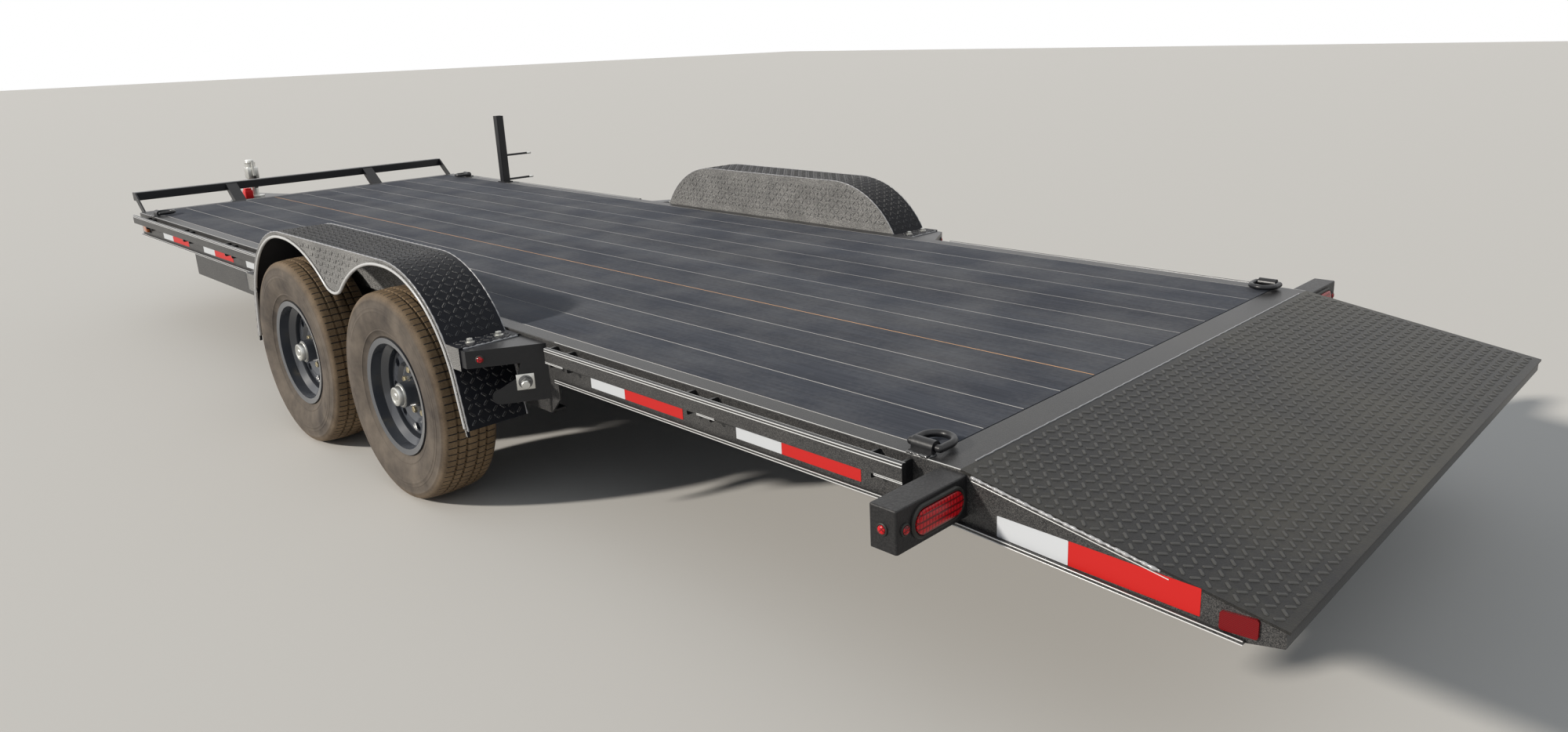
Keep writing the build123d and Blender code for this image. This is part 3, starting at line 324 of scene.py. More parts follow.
FRAME_PAINT = paint("frame_paint", (0.008, 0.0085, 0.0105), 0.30, 0.12, 0.07, 0.15)
# The rail, fender, checker plate and box paints carry pale specks: partly dust, partly painted highlights of the
# crinkled paint. The fender's specks are the palest, and they are on its sides only.
RAIL_PAINT = paint("rail_paint", (0.010, 0.0105, 0.012), 0.34, 0.12, 0.07, 0.1, 260.0, 0.5,
                   speckle=(480.0, 0.42, 0.16, (0.25, 0.24, 0.23)))
FENDER_PAINT = paint("fender_paint", (0.010, 0.011, 0.015), 0.36, 0.12, 0.10, 0.0, 240.0, 0.5, 1.3,
                     (0.16, 0.13, 0.09, 1), speckle=(400.0, 1.1, 0.0, (0.52, 0.51, 0.49)), shine=0.12)
CHECKER_PAINT = paint("checker_paint", (0.010, 0.010, 0.011), 0.32, 0.12, 0.14, 0.0, 260.0, 0.4, 1.8,
                      (0.34, 0.31, 0.22, 1), speckle=(520.0, 0.10, 0.08, (0.26, 0.25, 0.23)), shine=0.22)
# The checker bars are painted lighter than the plate: partly worn paint on them, partly a painted highlight of the
# raised bars.
BAR_PAINT = paint("checker_bar_paint", (0.052, 0.051, 0.048), 0.34, 0.10, 0.04, 0.0, 260.0, 0.2, shine=0.34)
BOX_PAINT = paint("box_paint", (0.009, 0.009, 0.010), 0.34, 0.15, 0.05, 0.0, 130.0, 1.0,
                  speckle=(190.0, 0.06, 0.10, (0.30, 0.29, 0.29)), shine=0.28)
# The rims are a blue grey, lighter than gloss black: a painted reflection of the sky on the discs.
RIM_PAINT = paint("rim_paint", (0.048, 0.053, 0.064), 0.20, 0.08, 0.05, 1.0, 40.0, 0.02)
print("painted finishes ready")

# %% [markdown]
# The floor is planks stained black. Stain sinks into the wood, so the grain still shows as long streaks and the
# boards differ a little from each other. Feet and tyres leave pale grey patches, and the sawn edges at the gaps
# are worn lighter. The grain is noise pulled out along the boards.

# %% Wood finish
def build_plank_finish():
    material, tree, shader = start_material("stained_wood", (0.03, 0.031, 0.035), 0.55, shine=0.07)
    place = object_place(tree)
    pulled = add_node(tree, "Mapping", {"Vector": place, "Scale": (1.2, 28.0, 28.0)})
    grain = noise(tree, pulled.outputs[0], 3.0, 6.0, 0.6)
    boards = add_node(tree, "Mapping", {"Vector": place, "Scale": (0.15, 5.6, 0.0)})
    tone = noise(tree, boards.outputs[0], 1.0, 1.0)
    stain = sums(tree, "MULTIPLY_ADD", tone, 0.35, sums(tree, "MULTIPLY", grain, 0.65))
    stain = ramp(tree, stain, 0.38, (0.040, 0.043, 0.054), 0.68, (0.088, 0.095, 0.113))
    film = effect(tree, DUST, {"Base": stain, "Dust": (0.34, 0.33, 0.32, 1), "Amount": 0.22, "Patch Scale": 3.2})
    feed(tree, shader, {"Base Color": film["Color"], "Roughness": spread(tree, grain, 0.3, 0.7, 0.60, 0.80),
                        "Normal": relief(tree, grain, 0.35, 0.0012)})
    return material


WOOD = build_plank_finish()
print("wood finish ready")

# %% [markdown]
# The bright parts are zinc plated steel, which is grey with a faint yellow cast and small dull clouds. The
# springs and the axles are darker bare steel. Rubber is nearly black, but the tread of a tyre that has rolled on
# clay is brown, and the sidewall is a dry grey.

# %% Metal and rubber finishes
def metal(name, colour, roughness, clouds, scale):
    material, tree, shader = start_material(name, colour, roughness, 1.0, shine=0.5)
    cloud = noise(tree, object_place(tree), scale, 4.0, 0.6)
    dull = tuple(part * (1 - clouds) for part in colour)
    feed(tree, shader, {"Base Color": ramp(tree, cloud, 0.3, dull, 0.7, colour),
                        "Roughness": spread(tree, cloud, 0.3, 0.7, roughness + 0.12, roughness)})
    return material


def rubber(name, colour, dust_colour, dust, roughness=0.75):
    material, tree, shader = start_material(name, colour, roughness)
    film = effect(tree, DUST, {"Base": (*colour, 1), "Dust": dust_colour, "Amount": dust, "Patch Scale": 5.0})
    grain = effect(tree, PEBBLE, {"Scale": 500.0, "Height": 0.3})
    rough = spread(tree, grain["Grain"], 0.3, 0.7, roughness - 0.08, roughness + 0.08)
    feed(tree, shader, {"Base Color": film["Color"], "Normal": grain["Normal"], "Roughness": rough})
    return material


ZINC = metal("zinc_plate", (0.66, 0.66, 0.63), 0.3, 0.25, 30.0)
BARE_STEEL = metal("bare_steel", (0.20, 0.20, 0.20), 0.5, 0.4, 18.0)
RUBBER = rubber("plain_rubber", (0.02, 0.02, 0.021), (0.12, 0.11, 0.10, 1), 0.4)
print("metal and rubber ready")

# %% [markdown]
# A lens is clear coloured plastic over small prisms. From outside it is a deep colour that is broken up by a
# fine regular pattern under a smooth skin, so the prisms go in the shader's normal and the skin is its coat.
# Reflecting tape is the same idea: tiny cells in a flat film.

# %% Lens and tape finishes
def celled(name, colour, dark, scale, roughness, bump_height, coat):
    shine = 0.5 if coat > 0.5 else 0.3
    material, tree, shader = start_material(name, colour, roughness, 0.0, coat, 0.05, shine)
    turned = add_node(tree, "Mapping", {"Vector": object_place(tree), "Rotation": (0, math.radians(45), 0)})
    inputs = {"Vector": turned.outputs[0], "Scale": scale, "Randomness": 0.0}
    edge = add_node(tree, "TexVoronoi", inputs, feature="DISTANCE_TO_EDGE").outputs["Distance"]
    feed(tree, shader, {"Base Color": ramp(tree, edge, 0.04, dark, 0.16, colour),
                        "Normal": relief(tree, edge, bump_height, 0.001)})
    return material


RED_LENS = celled("red_lens_clear", (0.56, 0.003, 0.009), (0.12, 0.001, 0.003), 95.0, 0.25, 0.8, 0.15)
DARK_RED_LENS = celled("red_reflector", (0.19, 0.001, 0.004), (0.08, 0.001, 0.002), 320.0, 0.30, 0.4, 0.0)
AMBER_LENS = celled("amber_lens_clear", (0.62, 0.16, 0.01), (0.30, 0.06, 0.004), 200.0, 0.22, 0.5, 1.0)
WHITE_TAPE = celled("white_tape_film", (0.80, 0.82, 0.84), (0.56, 0.58, 0.61), 210.0, 0.35, 0.2, 0.3)
RED_TAPE = celled("red_tape_film", (0.80, 0.022, 0.012), (0.52, 0.012, 0.010), 210.0, 0.45, 0.2, 0.0)
print("lens and tape ready")

# %% [markdown]
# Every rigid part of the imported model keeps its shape, and only its finish changes, by putting a material in
# its slots. A short table says which finish each group of parts has.

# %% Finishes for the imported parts
def finish_nodes(material, *endings):
    done = 0
    for name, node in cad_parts.items():
        if any(name == ending or name.endswith("_" + ending) for ending in endings):
            for slot in node.material_slots:
                slot.material = material
            done += 1
    return done


for material, endings in (
    (RAIL_PAINT, ("side_rail", "main_beam", "rub_rail", "dovetail_frame")),
    (FRAME_PAINT, ("front_channel", "crossmembers", "tongue_beam", "tongue_plate", "coupler", "front_rail",
                   "spare_post", "spring_hangers", "fender_brackets", "ring_straps", "ring")),
    (CHECKER_PAINT, ("dovetail_plate",)),
    (FENDER_PAINT, ("fender",)),
    (WOOD, ("deck_planks",)),
    (BOX_PAINT, ("light_box",)),
    (RIM_PAINT, ("rim", "hub")),
    (RUBBER, ("tyre",)),
    (ZINC, ("jack_tube", "jack_leg")),
    (BARE_STEEL, ("springs", "equalizer", "front_axle", "rear_axle")),
    (RED_LENS, ("tail_lamps",)),
):
    print(material.name, finish_nodes(material, *endings), "parts")

# %% [markdown]
# New pieces are made as one would by hand: add a primitive at its place, go into edit mode, select by place and
# shape it. A few short helpers say those steps once. The last ones put the finished object at the origin with
# its place in its mesh, and let it ride on the body that carries it. What both sides have is made on the left
# and copied to the right in a mirror.

# %% Modelling helpers
def edit(piece):
    take_up(piece)
    bpy.ops.object.mode_set(mode="EDIT")


def done_editing():
    bpy.ops.object.mode_set(mode="OBJECT")


def pick_all():
    bpy.ops.mesh.select_all(action="SELECT")


def pick(piece, rule, kind="FACE"):
    """Select the faces or vertices whose centre and normal the rule accepts, in edit mode."""
    bpy.ops.mesh.select_mode(type=kind)
    bpy.ops.mesh.select_all(action="DESELECT")
    mesh = bmesh.from_edit_mesh(piece.data)
    for part in (mesh.faces if kind == "FACE" else mesh.verts):
        place = part.calc_center_median() if kind == "FACE" else part.co
        if rule(place, part.normal):
            part.select_set(True)
    mesh.select_flush(True)
    bmesh.update_edit_mesh(piece.data)


def raise_face(height):
    bpy.ops.mesh.extrude_region_move(TRANSFORM_OT_translate={"value": (0, 0, height)})


def looking(place, outward, side="Y"):
    """The place of a piece that was made upright and now looks outward."""
    return Matrix.Translation(place) @ Vector(outward).to_track_quat("Z", side).to_matrix().to_4x4()


def rounded_block(name, low, high, bevel, segments=2):
    """A block between two corners with its edges rounded."""
    low, high = Vector(low), Vector(high)
    deselect()
    bpy.ops.mesh.primitive_cube_add(size=1, location=(low + high) / 2)
    block = bpy.context.object
    block.name = name
    block.scale = high - low
    edit(settle(block))
    pick_all()
    bpy.ops.mesh.bevel(offset=bevel, segments=segments, affect="EDGES")
    done_editing()
    return block


def spun_shape(name, centre, axis, profile, steps, closed=False):
    """Spin a line of (distance along the axis, radius) points about an axis through the centre."""
    centre, axis = Vector(centre), Vector(axis).normalized()
    out = Vector((0, 0, 1)) if abs(axis.z) < 0.9 else Vector((1, 0, 0))
    points = [centre + axis * along + out * radius for along, radius in profile]
    deselect()
    bpy.ops.mesh.primitive_circle_add(vertices=3, radius=0.001, location=points[0])
    piece = settle(bpy.context.object)
    piece.name = name
    edit(piece)
    bpy.ops.mesh.select_mode(type="VERT")
    pick_all()
    bpy.ops.mesh.merge(type="CENTER")
    for a, b in zip(points, points[1:] + (points[:1] if closed else [])):
        bpy.ops.mesh.extrude_region_move(TRANSFORM_OT_translate={"value": b - a})
    pick_all()
    bpy.ops.mesh.remove_doubles(threshold=0.00002)
    pick_all()
    bpy.ops.mesh.spin(steps=steps, angle=math.tau, center=centre, axis=axis)
    pick_all()
    bpy.ops.mesh.remove_doubles(threshold=0.00002)
    bpy.ops.mesh.normals_make_consistent(inside=False)
    done_editing()
    return piece


def merge_pieces(pieces, name="merged"):
    take_up(pieces[0])
    for piece in pieces:
        piece.select_set(True)
    bpy.ops.object.join()
    whole = bpy.context.object
    whole.name = name
    return whole


def copy_piece(piece, name, move=(0, 0, 0), mirror=False):
    """A copy with its own mesh, moved, or mirrored to the right side of the trailer."""
    twin = bpy.data.objects.new(name, piece.data.copy())
    bpy.context.collection.objects.link(twin)
    twin.data.transform(Matrix.Translation(move))
    if mirror:
        twin.data.transform(Matrix.Diagonal((1, -1, 1, 1)))
        twin.data.flip_normals()
    return twin


def finish_piece(piece, body, material, smooth=None, replaces=()):
    settle(piece)
    if smooth is not None:
        bpy.ops.object.shade_smooth_by_angle(angle=math.radians(smooth))
    piece.data.materials.clear()
    piece.data.materials.append(material)
    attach(piece, body)
    for node in replaces:
        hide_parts(node)


def finish_pair(left, name, material, smooth=None, stands_for=None):
    """Finish a piece of the left side and its mirrored copy, on the frame."""
    right = copy_piece(left, "right_" + name, mirror=True)
    left.name = "left_" + name
    for side, piece in (("left_", left), ("right_", right)):
        finish_piece(piece, "frame", material, smooth, (side + stands_for,) if stands_for else ())


print("helpers ready")

# %% [markdown]
# A trailer tyre has a flat tread of five ribs with straight grooves between them, a square shoulder, and a
# sidewall with moulded rings. All of that is one profile spun round the axle. The fine cuts across the ribs are
# too many to model, so the tyre gets a UV map, round and across, and the finish draws the cuts from it.

# %% Tyre finish
TYRE_MAP = "round_and_across"
CUTS_ROUND = 88.0


def build_tyre_finish():
    material, tree, shader = start_material("worn_tyre", (0.02, 0.02, 0.02), 0.8)
    unrolled = add_node(tree, "UVMap", uv_map=TYRE_MAP).outputs["UV"]
    flat = add_node(tree, "SeparateXYZ", {0: unrolled}).outputs
    cut = sums(tree, "FRACT", sums(tree, "MULTIPLY", flat["X"], CUTS_ROUND))
    on_tread = sums(tree, "GREATER_THAN", flat["Y"], 1.0)
    cut = sums(tree, "MULTIPLY", sums(tree, "LESS_THAN", cut, 0.17), on_tread)
    place = object_place(tree)
    blotch = noise(tree, place, 9.0, 4.0, 0.6)
    fine = noise(tree, place, 180.0, 3.0, 0.6)
    mottle = sums(tree, "MULTIPLY_ADD", fine, 0.5, sums(tree, "MULTIPLY", blotch, 0.5))
    clay = ramp(tree, mottle, 0.3, (0.085, 0.055, 0.029), 0.75, (0.270, 0.185, 0.105))
    grey = ramp(tree, blotch, 0.3, (0.050, 0.041, 0.035), 0.8, (0.160, 0.132, 0.106))
    worn = blend(tree, spread(tree, flat["Y"], 0.84, 1.05), grey, clay)
    height = sums(tree, "MULTIPLY_ADD", fine, 0.25, sums(tree, "MULTIPLY", cut, -1.0))
    # The cuts are painted near black, darker than the rubber and clay around them: painted shade inside each narrow
    # cut.
    feed(tree, shader, {"Base Color": blend(tree, cut, worn, (0.012, 0.010, 0.009, 1)),
                        "Normal": relief(tree, height, 0.5, 0.002)})
    return material


TYRE = build_tyre_finish()
print("tyre finish ready")

# %% [markdown]
# The profile is written in millimetres, as (distance from the tyre's middle, radius) points from the bead out
# over the sidewall and the ribs, and the inner half is its mirror image. The four tyres are the same shape, so
# one is spun and mapped, and each wheel gets a copy.

# %% Tyres
BEAD_RADIUS, SHOULDER_RADIUS = 0.203, 0.3825
TREAD_HALF, GROOVE_RADIUS = 0.0835, 0.37


def tyre_profile():
    side = (
        (75.4, 203.3), (77.6, 218.3), (84, 224.5), (84.8, 232), (91.1, 242.2), (93.1, 245), (94.3, 245.9),
        (94.7, 248.7), (94, 250.6), (97.4, 261.7), (101.5, 278.4), (104.5, 295.1), (105.4, 310), (105.4, 315.6),
        (105.9, 317), (105.8, 320.2), (105, 321.6), (104.8, 328.6), (105.2, 330), (104.6, 333.2), (103.7, 334.1),
        (102.5, 345.3), (101, 354.6), (101.6, 356.4), (101, 360.1), (99.6, 362), (97, 369.4), (93.4, 375.5),
        (88.4, 380), (83, 382.4),
    )
    ribs = (
        (75.8, 383.4), (57.7, 385.2), (56.4, 384.4), (55, 378.2), (49.6, 378.2), (48.3, 385), (46.9, 386),
        (27.1, 387.2), (25.7, 386.4), (24.4, 379.4), (18, 379.4), (16.7, 387), (15.3, 387.8), (0, 388),
    )
    outer = [(y / 1000, r / 1000) for y, r in side + ribs]
    return outer + [(-y, r) for y, r in reversed(outer[:-1])]


def up_the_side(point):
    """0 to 1 from the bead to the shoulder, and more than 1 on the tread."""
    reach = math.hypot(point.x, point.z)
    if abs(point.y) >= TREAD_HALF:
        return (reach - BEAD_RADIUS) / (SHOULDER_RADIUS - BEAD_RADIUS)
    return 1.02 + (TREAD_HALF - abs(point.y)) * 5 if reach > GROOVE_RADIUS else 0.0


def build_tyre(centre):
    tyre = spun_shape("tyre", centre, (0, 1, 0), tyre_profile(), 180, closed=True)
    mesh = tyre.data
    while mesh.uv_layers:
        mesh.uv_layers.remove(mesh.uv_layers[0])
    layer = mesh.uv_layers.new(name=TYRE_MAP)
    for face in mesh.polygons:
        points = [mesh.vertices[mesh.loops[index].vertex_index].co - centre for index in face.loop_indices]
        turns = [math.atan2(point.z, point.x) / math.tau for point in points]
        if max(turns) - min(turns) > 0.5:
            turns = [turn + 1 if turn < 0 else turn for turn in turns]
        for index, turn, point in zip(face.loop_indices, turns, points):
            layer.data[index].uv = (turn, up_the_side(point))
    return tyre


first_centre = WHEELS["left_front"]
first = build_tyre(first_centre)
for wheel, centre in WHEELS.items():
    tyre = copy_piece(first, wheel + "_ribbed_tyre", centre - first_centre)
    finish_piece(tyre, wheel + "_wheel", TYRE, 32, (wheel + "_tyre",))
print("tyres", len(WHEELS), "faces each", len(first.data.polygons))
bpy.data.objects.remove(first)

# %% [markdown]
# Eight nuts hold each wheel. They are plated, with a faint gold cast. A nut is a hexagon whose top edges are
# cut off. The grease cap is a pressed cup with a rolled lip and a small plug in its middle.

# %% Wheel nuts and grease caps
GOLD_ZINC = metal("gold_zinc", (0.72, 0.62, 0.40), 0.28, 0.25, 60.0)
NUT_COUNT, NUT_CIRCLE = 8, 0.08255
DISC_FACE = 0.008
CAP_PROFILE = [(mm_y / 1000, mm_r / 1000) for mm_y, mm_r in (
    (62, 30), (64.2, 41), (66.5, 41.8), (69, 41), (70, 37.5), (74, 36.6), (84, 36.0), (87.2, 34.4), (88.4, 31.5),
    (88.4, 27.0), (86.4, 25.6), (85.6, 13.5), (87.2, 12.4), (88.0, 10.0), (87.6, 4.0), (87.6, 0.02),
)]


def build_nut(place, outward):
    deselect()
    bpy.ops.mesh.primitive_cylinder_add(vertices=6, radius=0.0125, depth=0.018)
    nut = bpy.context.object
    edit(nut)
    pick(nut, lambda c, n: n.z > 0.9)
    bpy.ops.mesh.bevel(offset=0.0016, segments=1, affect="EDGES")
    done_editing()
    return settle(nut, looking(place, outward, "X"))


for wheel, centre in WHEELS.items():
    out = 1 if wheel.startswith("left") else -1
    nuts = []
    for number in range(NUT_COUNT):
        turn = math.tau * (number + 0.5) / NUT_COUNT
        place = centre + Vector((math.cos(turn) * NUT_CIRCLE, out * DISC_FACE, math.sin(turn) * NUT_CIRCLE))
        nuts.append(build_nut(place, (0, out, 0)))
    finish_piece(merge_pieces(nuts, wheel + "_nuts"), wheel + "_wheel", GOLD_ZINC, 30)
    cap = spun_shape(wheel + "_grease_cap", centre, (0, out, 0), CAP_PROFILE, 40)
    finish_piece(cap, wheel + "_wheel", ZINC, 40)
print("nuts and caps done")

# %% [markdown]
# Checker plate has short raised bars that lean left and right by turns. It covers the dovetail and the fenders.
# One bar is modelled, a low block whose top is drawn in, and copies of it are set all over the surface. Where
# the sheet is rolled, each bar is placed along the roll, so the pattern follows the bend.

# %% Checker plate bars
PITCH = 0.0275


def build_bar():
    deselect()
    bpy.ops.mesh.primitive_cube_add(size=1, location=(0, 0, 0.0005))
    bar = bpy.context.object
    bar.scale = (0.0235, 0.0082, 0.0036)
    edit(settle(bar))
    pick(bar, lambda c, n: abs(n.x) > 0.9)
    bpy.ops.mesh.subdivide(number_cuts=1)
    pick(bar, lambda c, n: c.z > 0.001, "VERT")
    bpy.ops.transform.resize(value=(0.80, 0.42, 1))
    pick(bar, lambda c, n: abs(c.y) > 0.001 and abs(c.x) > 0.008, "VERT")
    bpy.ops.transform.resize(value=(0.80, 1, 1))
    pick(bar, lambda c, n: n.z < -0.9 and c.z < 0)
    bpy.ops.mesh.delete(type="FACE")
    done_editing()
    return bar


def mesh_piece(name, points, faces):
    mesh = bpy.data.meshes.new(name)
    mesh.from_pydata(points, [], faces)
    piece = bpy.data.objects.new(name, mesh)
    bpy.context.collection.objects.link(piece)
    return piece


def lay_bars(name, bar, seats):
    """Copies of the bar, one for each (place, along, normal), joined in one mesh."""
    points, faces = [], []
    own = [vertex.co.copy() for vertex in bar.data.vertices]
    shape = [list(face.vertices) for face in bar.data.polygons]
    for place, along, normal in seats:
        across = normal.cross(along)
        start = len(points)
        points.extend(place + along * p.x + across * p.y + normal * p.z for p in own)
        faces.extend([start + index for index in face] for face in shape)
    return mesh_piece(name, points, faces)


def checker_seats(at, length, width, keep=lambda u, v: True):
    """Seats for the bars on a surface at(u, v), which gives a place, the u direction and the normal."""
    seats = []
    rows, columns = int(width / PITCH), int(length / PITCH)
    for column in range(columns):
        for row in range(rows):
            u = (length - (columns - 1) * PITCH) / 2 + column * PITCH
            v = (width - (rows - 1) * PITCH) / 2 + row * PITCH
            if not keep(u, v):
                continue
            place, along, normal = at(u, v)
            lean = math.radians(45 if (column + row) % 2 else -45)
            seats.append((place, along * math.cos(lean) + normal.cross(along) * math.sin(lean), normal))
    return seats


def flat(corner, along, across, normal):
    """A flat surface for the seats, with u along it and v across it, from a corner."""
    corner, along, across, normal = (Vector(part) for part in (corner, along, across, normal))
    return lambda u, v: (corner + along * u + across * v, along, normal)


plate_low, plate_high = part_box("dovetail_plate")
TAIL_RUN, TAIL_DROP = plate_high.x - plate_low.x, 0.116
down = Vector((-TAIL_RUN, 0, -TAIL_DROP)).normalized()
tail = flat((HINGE, HALF, DECK), down, (0, -1, 0), down.cross((0, -1, 0)))
bar = build_bar()
seats = checker_seats(tail, math.hypot(TAIL_RUN, TAIL_DROP) - 0.004, 2 * HALF - 0.006)
finish_piece(lay_bars("dovetail_checker", bar, seats), "frame", BAR_PAINT, 30)
print("dovetail bars", len(seats))

# %% [markdown]
# The fenders are bent from the same checker plate: a roof that is rolled down at both ends, a full inner side
# and an outer skirt that hangs down between the wheels. The bars follow the developed length of the roof. On
# the sides they fill what lies between the outline and the wheel arches.

# %% Fender bars
fender_low, fender_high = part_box("left_fender")
FENDER_X = (fender_low.x + fender_high.x) / 2
OUTER_Y, INNER_Y = 1.240, 1.022
ROOF, ROLL, FLARE = 0.890, 0.450, math.radians(13)
ROLL_X, ROLL_Z = 0.4683, ROOF - ROLL
ROLL_END_X, ROLL_END_Z = ROLL_X + ROLL * math.cos(FLARE), ROLL_Z + ROLL * math.sin(FLARE)
SLOPE, ROLL_RUN = 0.1737, ROLL * (math.pi / 2 - FLARE)
ROOF_LENGTH = 2 * (SLOPE + ROLL_RUN + ROLL_X)
ARCH_X, ARCH_Z, ARCH_RADIUS, ARCH_TOP = 0.4445, 0.3088, 0.5612, 0.870
TIP_X, TIP_Z, TIP_RADIUS = 0.0785, 0.825, 0.12
SKIRT_HALF, SKIRT_LOW, INNER_HALF = 0.45, 0.70, 0.90
FOOT_X, FOOT_Z, FOOT_LENGTH = 0.866, 0.659, 0.084
FOOT_BEND_LOW, FOOT_BEND_HIGH = 0.644, 0.672
# Bare strips without bars, at the low and the high edge of the skirt and of the inner side
SKIRT_BARE, INNER_BARE = (0.022, 0.016), (0.024, 0.018)


def along_roof(u):
    """The point, the direction and the normal at a distance up the rear slope, over the roof and down again."""
    turned = u > ROOF_LENGTH / 2
    s = ROOF_LENGTH - u if turned else u
    if s < SLOPE:
        angle = FLARE
        x, z = ROLL_END_X + (SLOPE - s) * math.sin(FLARE), ROLL_END_Z - (SLOPE - s) * math.cos(FLARE)
    elif s < SLOPE + ROLL_RUN:
        angle = FLARE + (s - SLOPE) / ROLL
        x, z = ROLL_X + ROLL * math.cos(angle), ROLL_Z + ROLL * math.sin(angle)
    else:
        angle = math.pi / 2
        x, z = ROLL_X - (s - SLOPE - ROLL_RUN), ROOF
    flip = 1 if turned else -1
    normal = Vector((flip * math.cos(angle), 0, math.sin(angle)))
    return Vector((FENDER_X + flip * x, 0, z)), Vector((normal.z, 0, -normal.x)), normal


def roof_height(x):
    x = abs(x)
    if x < ROLL_X:
        return ROOF
    if x < ROLL_END_X:
        return ROLL_Z + math.sqrt(ROLL ** 2 - (x - ROLL_X) ** 2)
    return ROLL_END_Z - (x - ROLL_END_X) / math.tan(FLARE)


def arch_height(x):
    """The lower edge of the skirt: a round tip between two wheel arches."""
    x = abs(x)
    if x < TIP_X:
        return TIP_Z - math.sqrt(TIP_RADIUS ** 2 - x ** 2)
    return ARCH_Z + math.sqrt(ARCH_RADIUS ** 2 - (x - ARCH_X) ** 2) if x < ARCH_X else ARCH_TOP


def roof_seat(u, v):
    point, along, normal = along_roof(u)
    return Vector((point.x, INNER_Y + v, point.z)), along, normal


def roof_clear(u, v):
    """Not where the feet are bent off."""
    return not FOOT_BEND_LOW < along_roof(u)[0].z < FOOT_BEND_HIGH


def skirt_clear(u, v):
    return arch_height(u - SKIRT_HALF) + SKIRT_BARE[0] < SKIRT_LOW + v < ROOF - SKIRT_BARE[1]


def inner_clear(u, v):
    return INNER_BARE[0] < v < roof_height(INNER_HALF - u) - DECK - INNER_BARE[1]


width = OUTER_Y - INNER_Y
skirt = flat((FENDER_X - SKIRT_HALF, OUTER_Y, SKIRT_LOW), (1, 0, 0), (0, 0, 1), (0, 1, 0))
inner = flat((FENDER_X + INNER_HALF, INNER_Y, DECK), (-1, 0, 0), (0, 0, 1), (0, -1, 0))
seats = checker_seats(roof_seat, ROOF_LENGTH, width, roof_clear)
seats += checker_seats(skirt, 2 * SKIRT_HALF, ROOF - SKIRT_LOW, skirt_clear)
seats += checker_seats(inner, 2 * INNER_HALF, ROOF - DECK, inner_clear)
for end in (1, -1):
    foot = flat((FENDER_X + end * FOOT_X, INNER_Y, FOOT_Z), (end, 0, 0), (0, 1, 0), (0, 0, 1))
    seats += checker_seats(foot, FOOT_LENGTH, width)
finish_pair(lay_bars("bars", bar, seats), "fender_checker", FENDER_PAINT, 30)
bpy.data.objects.remove(bar)
print("fender bars", len(seats), "a side")

# %% [markdown]
# Strips of reflecting tape run along both sides below the rub rail, a white piece and then a longer red one in
# each strip, and one strip on the side of the dovetail with a dark red reflector behind it. Each piece is a
# thin plate with rounded corners, just proud of the steel. Places along the trailer are counted from the hinge.

# %% Reflecting tape
STRIP_FRONTS = (5.824, 5.116, 4.472, 1.445, 0.758)
WHITE_RUN, RED_RUN, TAPE_GAP = 0.178, 0.279, 0.0004
TAPE_ENDS = (0.5505, 0.5885)
TAIL_JOINT, JOINT_ENDS = -0.277, (0.5245, 0.5805)


def tape_piece(front, front_ends, rear, rear_ends, thick=0.0008, corner=0.002):
    """A flat plate on the left side, between two upright ends that are each given as (low, high)."""
    deselect()
    bpy.ops.mesh.primitive_plane_add(size=1, location=(0, 0, 0))
    piece = bpy.context.object
    corners = ((rear, rear_ends[0]), (front, front_ends[0]), (rear, rear_ends[1]), (front, front_ends[1]))
    for vertex, (x, z) in zip(piece.data.vertices, corners):
        vertex.co = (HINGE + x, HALF, z)
    edit(piece)
    pick_all()
    bpy.ops.mesh.bevel(offset=corner, segments=4, affect="VERTICES")
    pick_all()
    bpy.ops.mesh.extrude_region_move(TRANSFORM_OT_translate={"value": (0, thick, 0)})
    pick_all()
    bpy.ops.mesh.normals_make_consistent(inside=False)
    done_editing()
    return piece


white = [tape_piece(front - TAPE_GAP, TAPE_ENDS, front - WHITE_RUN, TAPE_ENDS) for front in STRIP_FRONTS]
white.append(tape_piece(-0.099, (0.5335, 0.5830), TAIL_JOINT, JOINT_ENDS))
red = [tape_piece(front - TAPE_GAP, TAPE_ENDS, front - RED_RUN, TAPE_ENDS)
       for front in (strip - WHITE_RUN for strip in STRIP_FRONTS)]
red.append(tape_piece(TAIL_JOINT - TAPE_GAP, JOINT_ENDS, -0.566, (0.5163, 0.5754)))
reflector = tape_piece(-0.6055, (0.5085, 0.5475), -0.680, (0.5130, 0.5540), 0.006, 0.006)
finish_pair(merge_pieces(white), "white_tape", WHITE_TAPE)
finish_pair(merge_pieces(red), "red_tape", RED_TAPE)
finish_pair(reflector, "side_reflector", DARK_RED_LENS, 40)
print("tape strips", len(white), "a side")

# %% [markdown]
# A tail lamp is an oval lens in a soft rubber ring, and the ring sits in an oval hole in the rear face of the
# box. Small round markers sit in rings of the same kind, one on the end of each box, one beside the lamp and one
# on the rear face of each fender bracket. The oval is a circle pulled apart in the middle. Insets then raise the
# lip of the ring and the low crown of the lens.

# %% Tail lamps and markers
DARK_RUBBER = rubber("lamp_rubber", (0.022, 0.022, 0.020), (0.16, 0.15, 0.13, 1), 0.35, 0.5)
BOX_REAR, BOX_END = light_box_low.x, light_box_high.y
LENS_Y, LENS_Z = BOX_END - 0.137, light_box_low.z + 0.050
MARKER_RING = [(0, 0.0150), (0.0030, 0.0145), (0.0044, 0.0126), (0.0044, 0.0112), (0.0028, 0.0100), (0.0008, 0.0098)]
MARKER_LENS = [(0, 0.0102), (0.0048, 0.0102), (0.0072, 0.0082), (0.0084, 0.0048), (0.0088, 0.0002)]
BRACKET_X, BRACKET_Y = 0.985, 1.236
SLANT_X, SLANT_Y = 0.4849, 0.8745


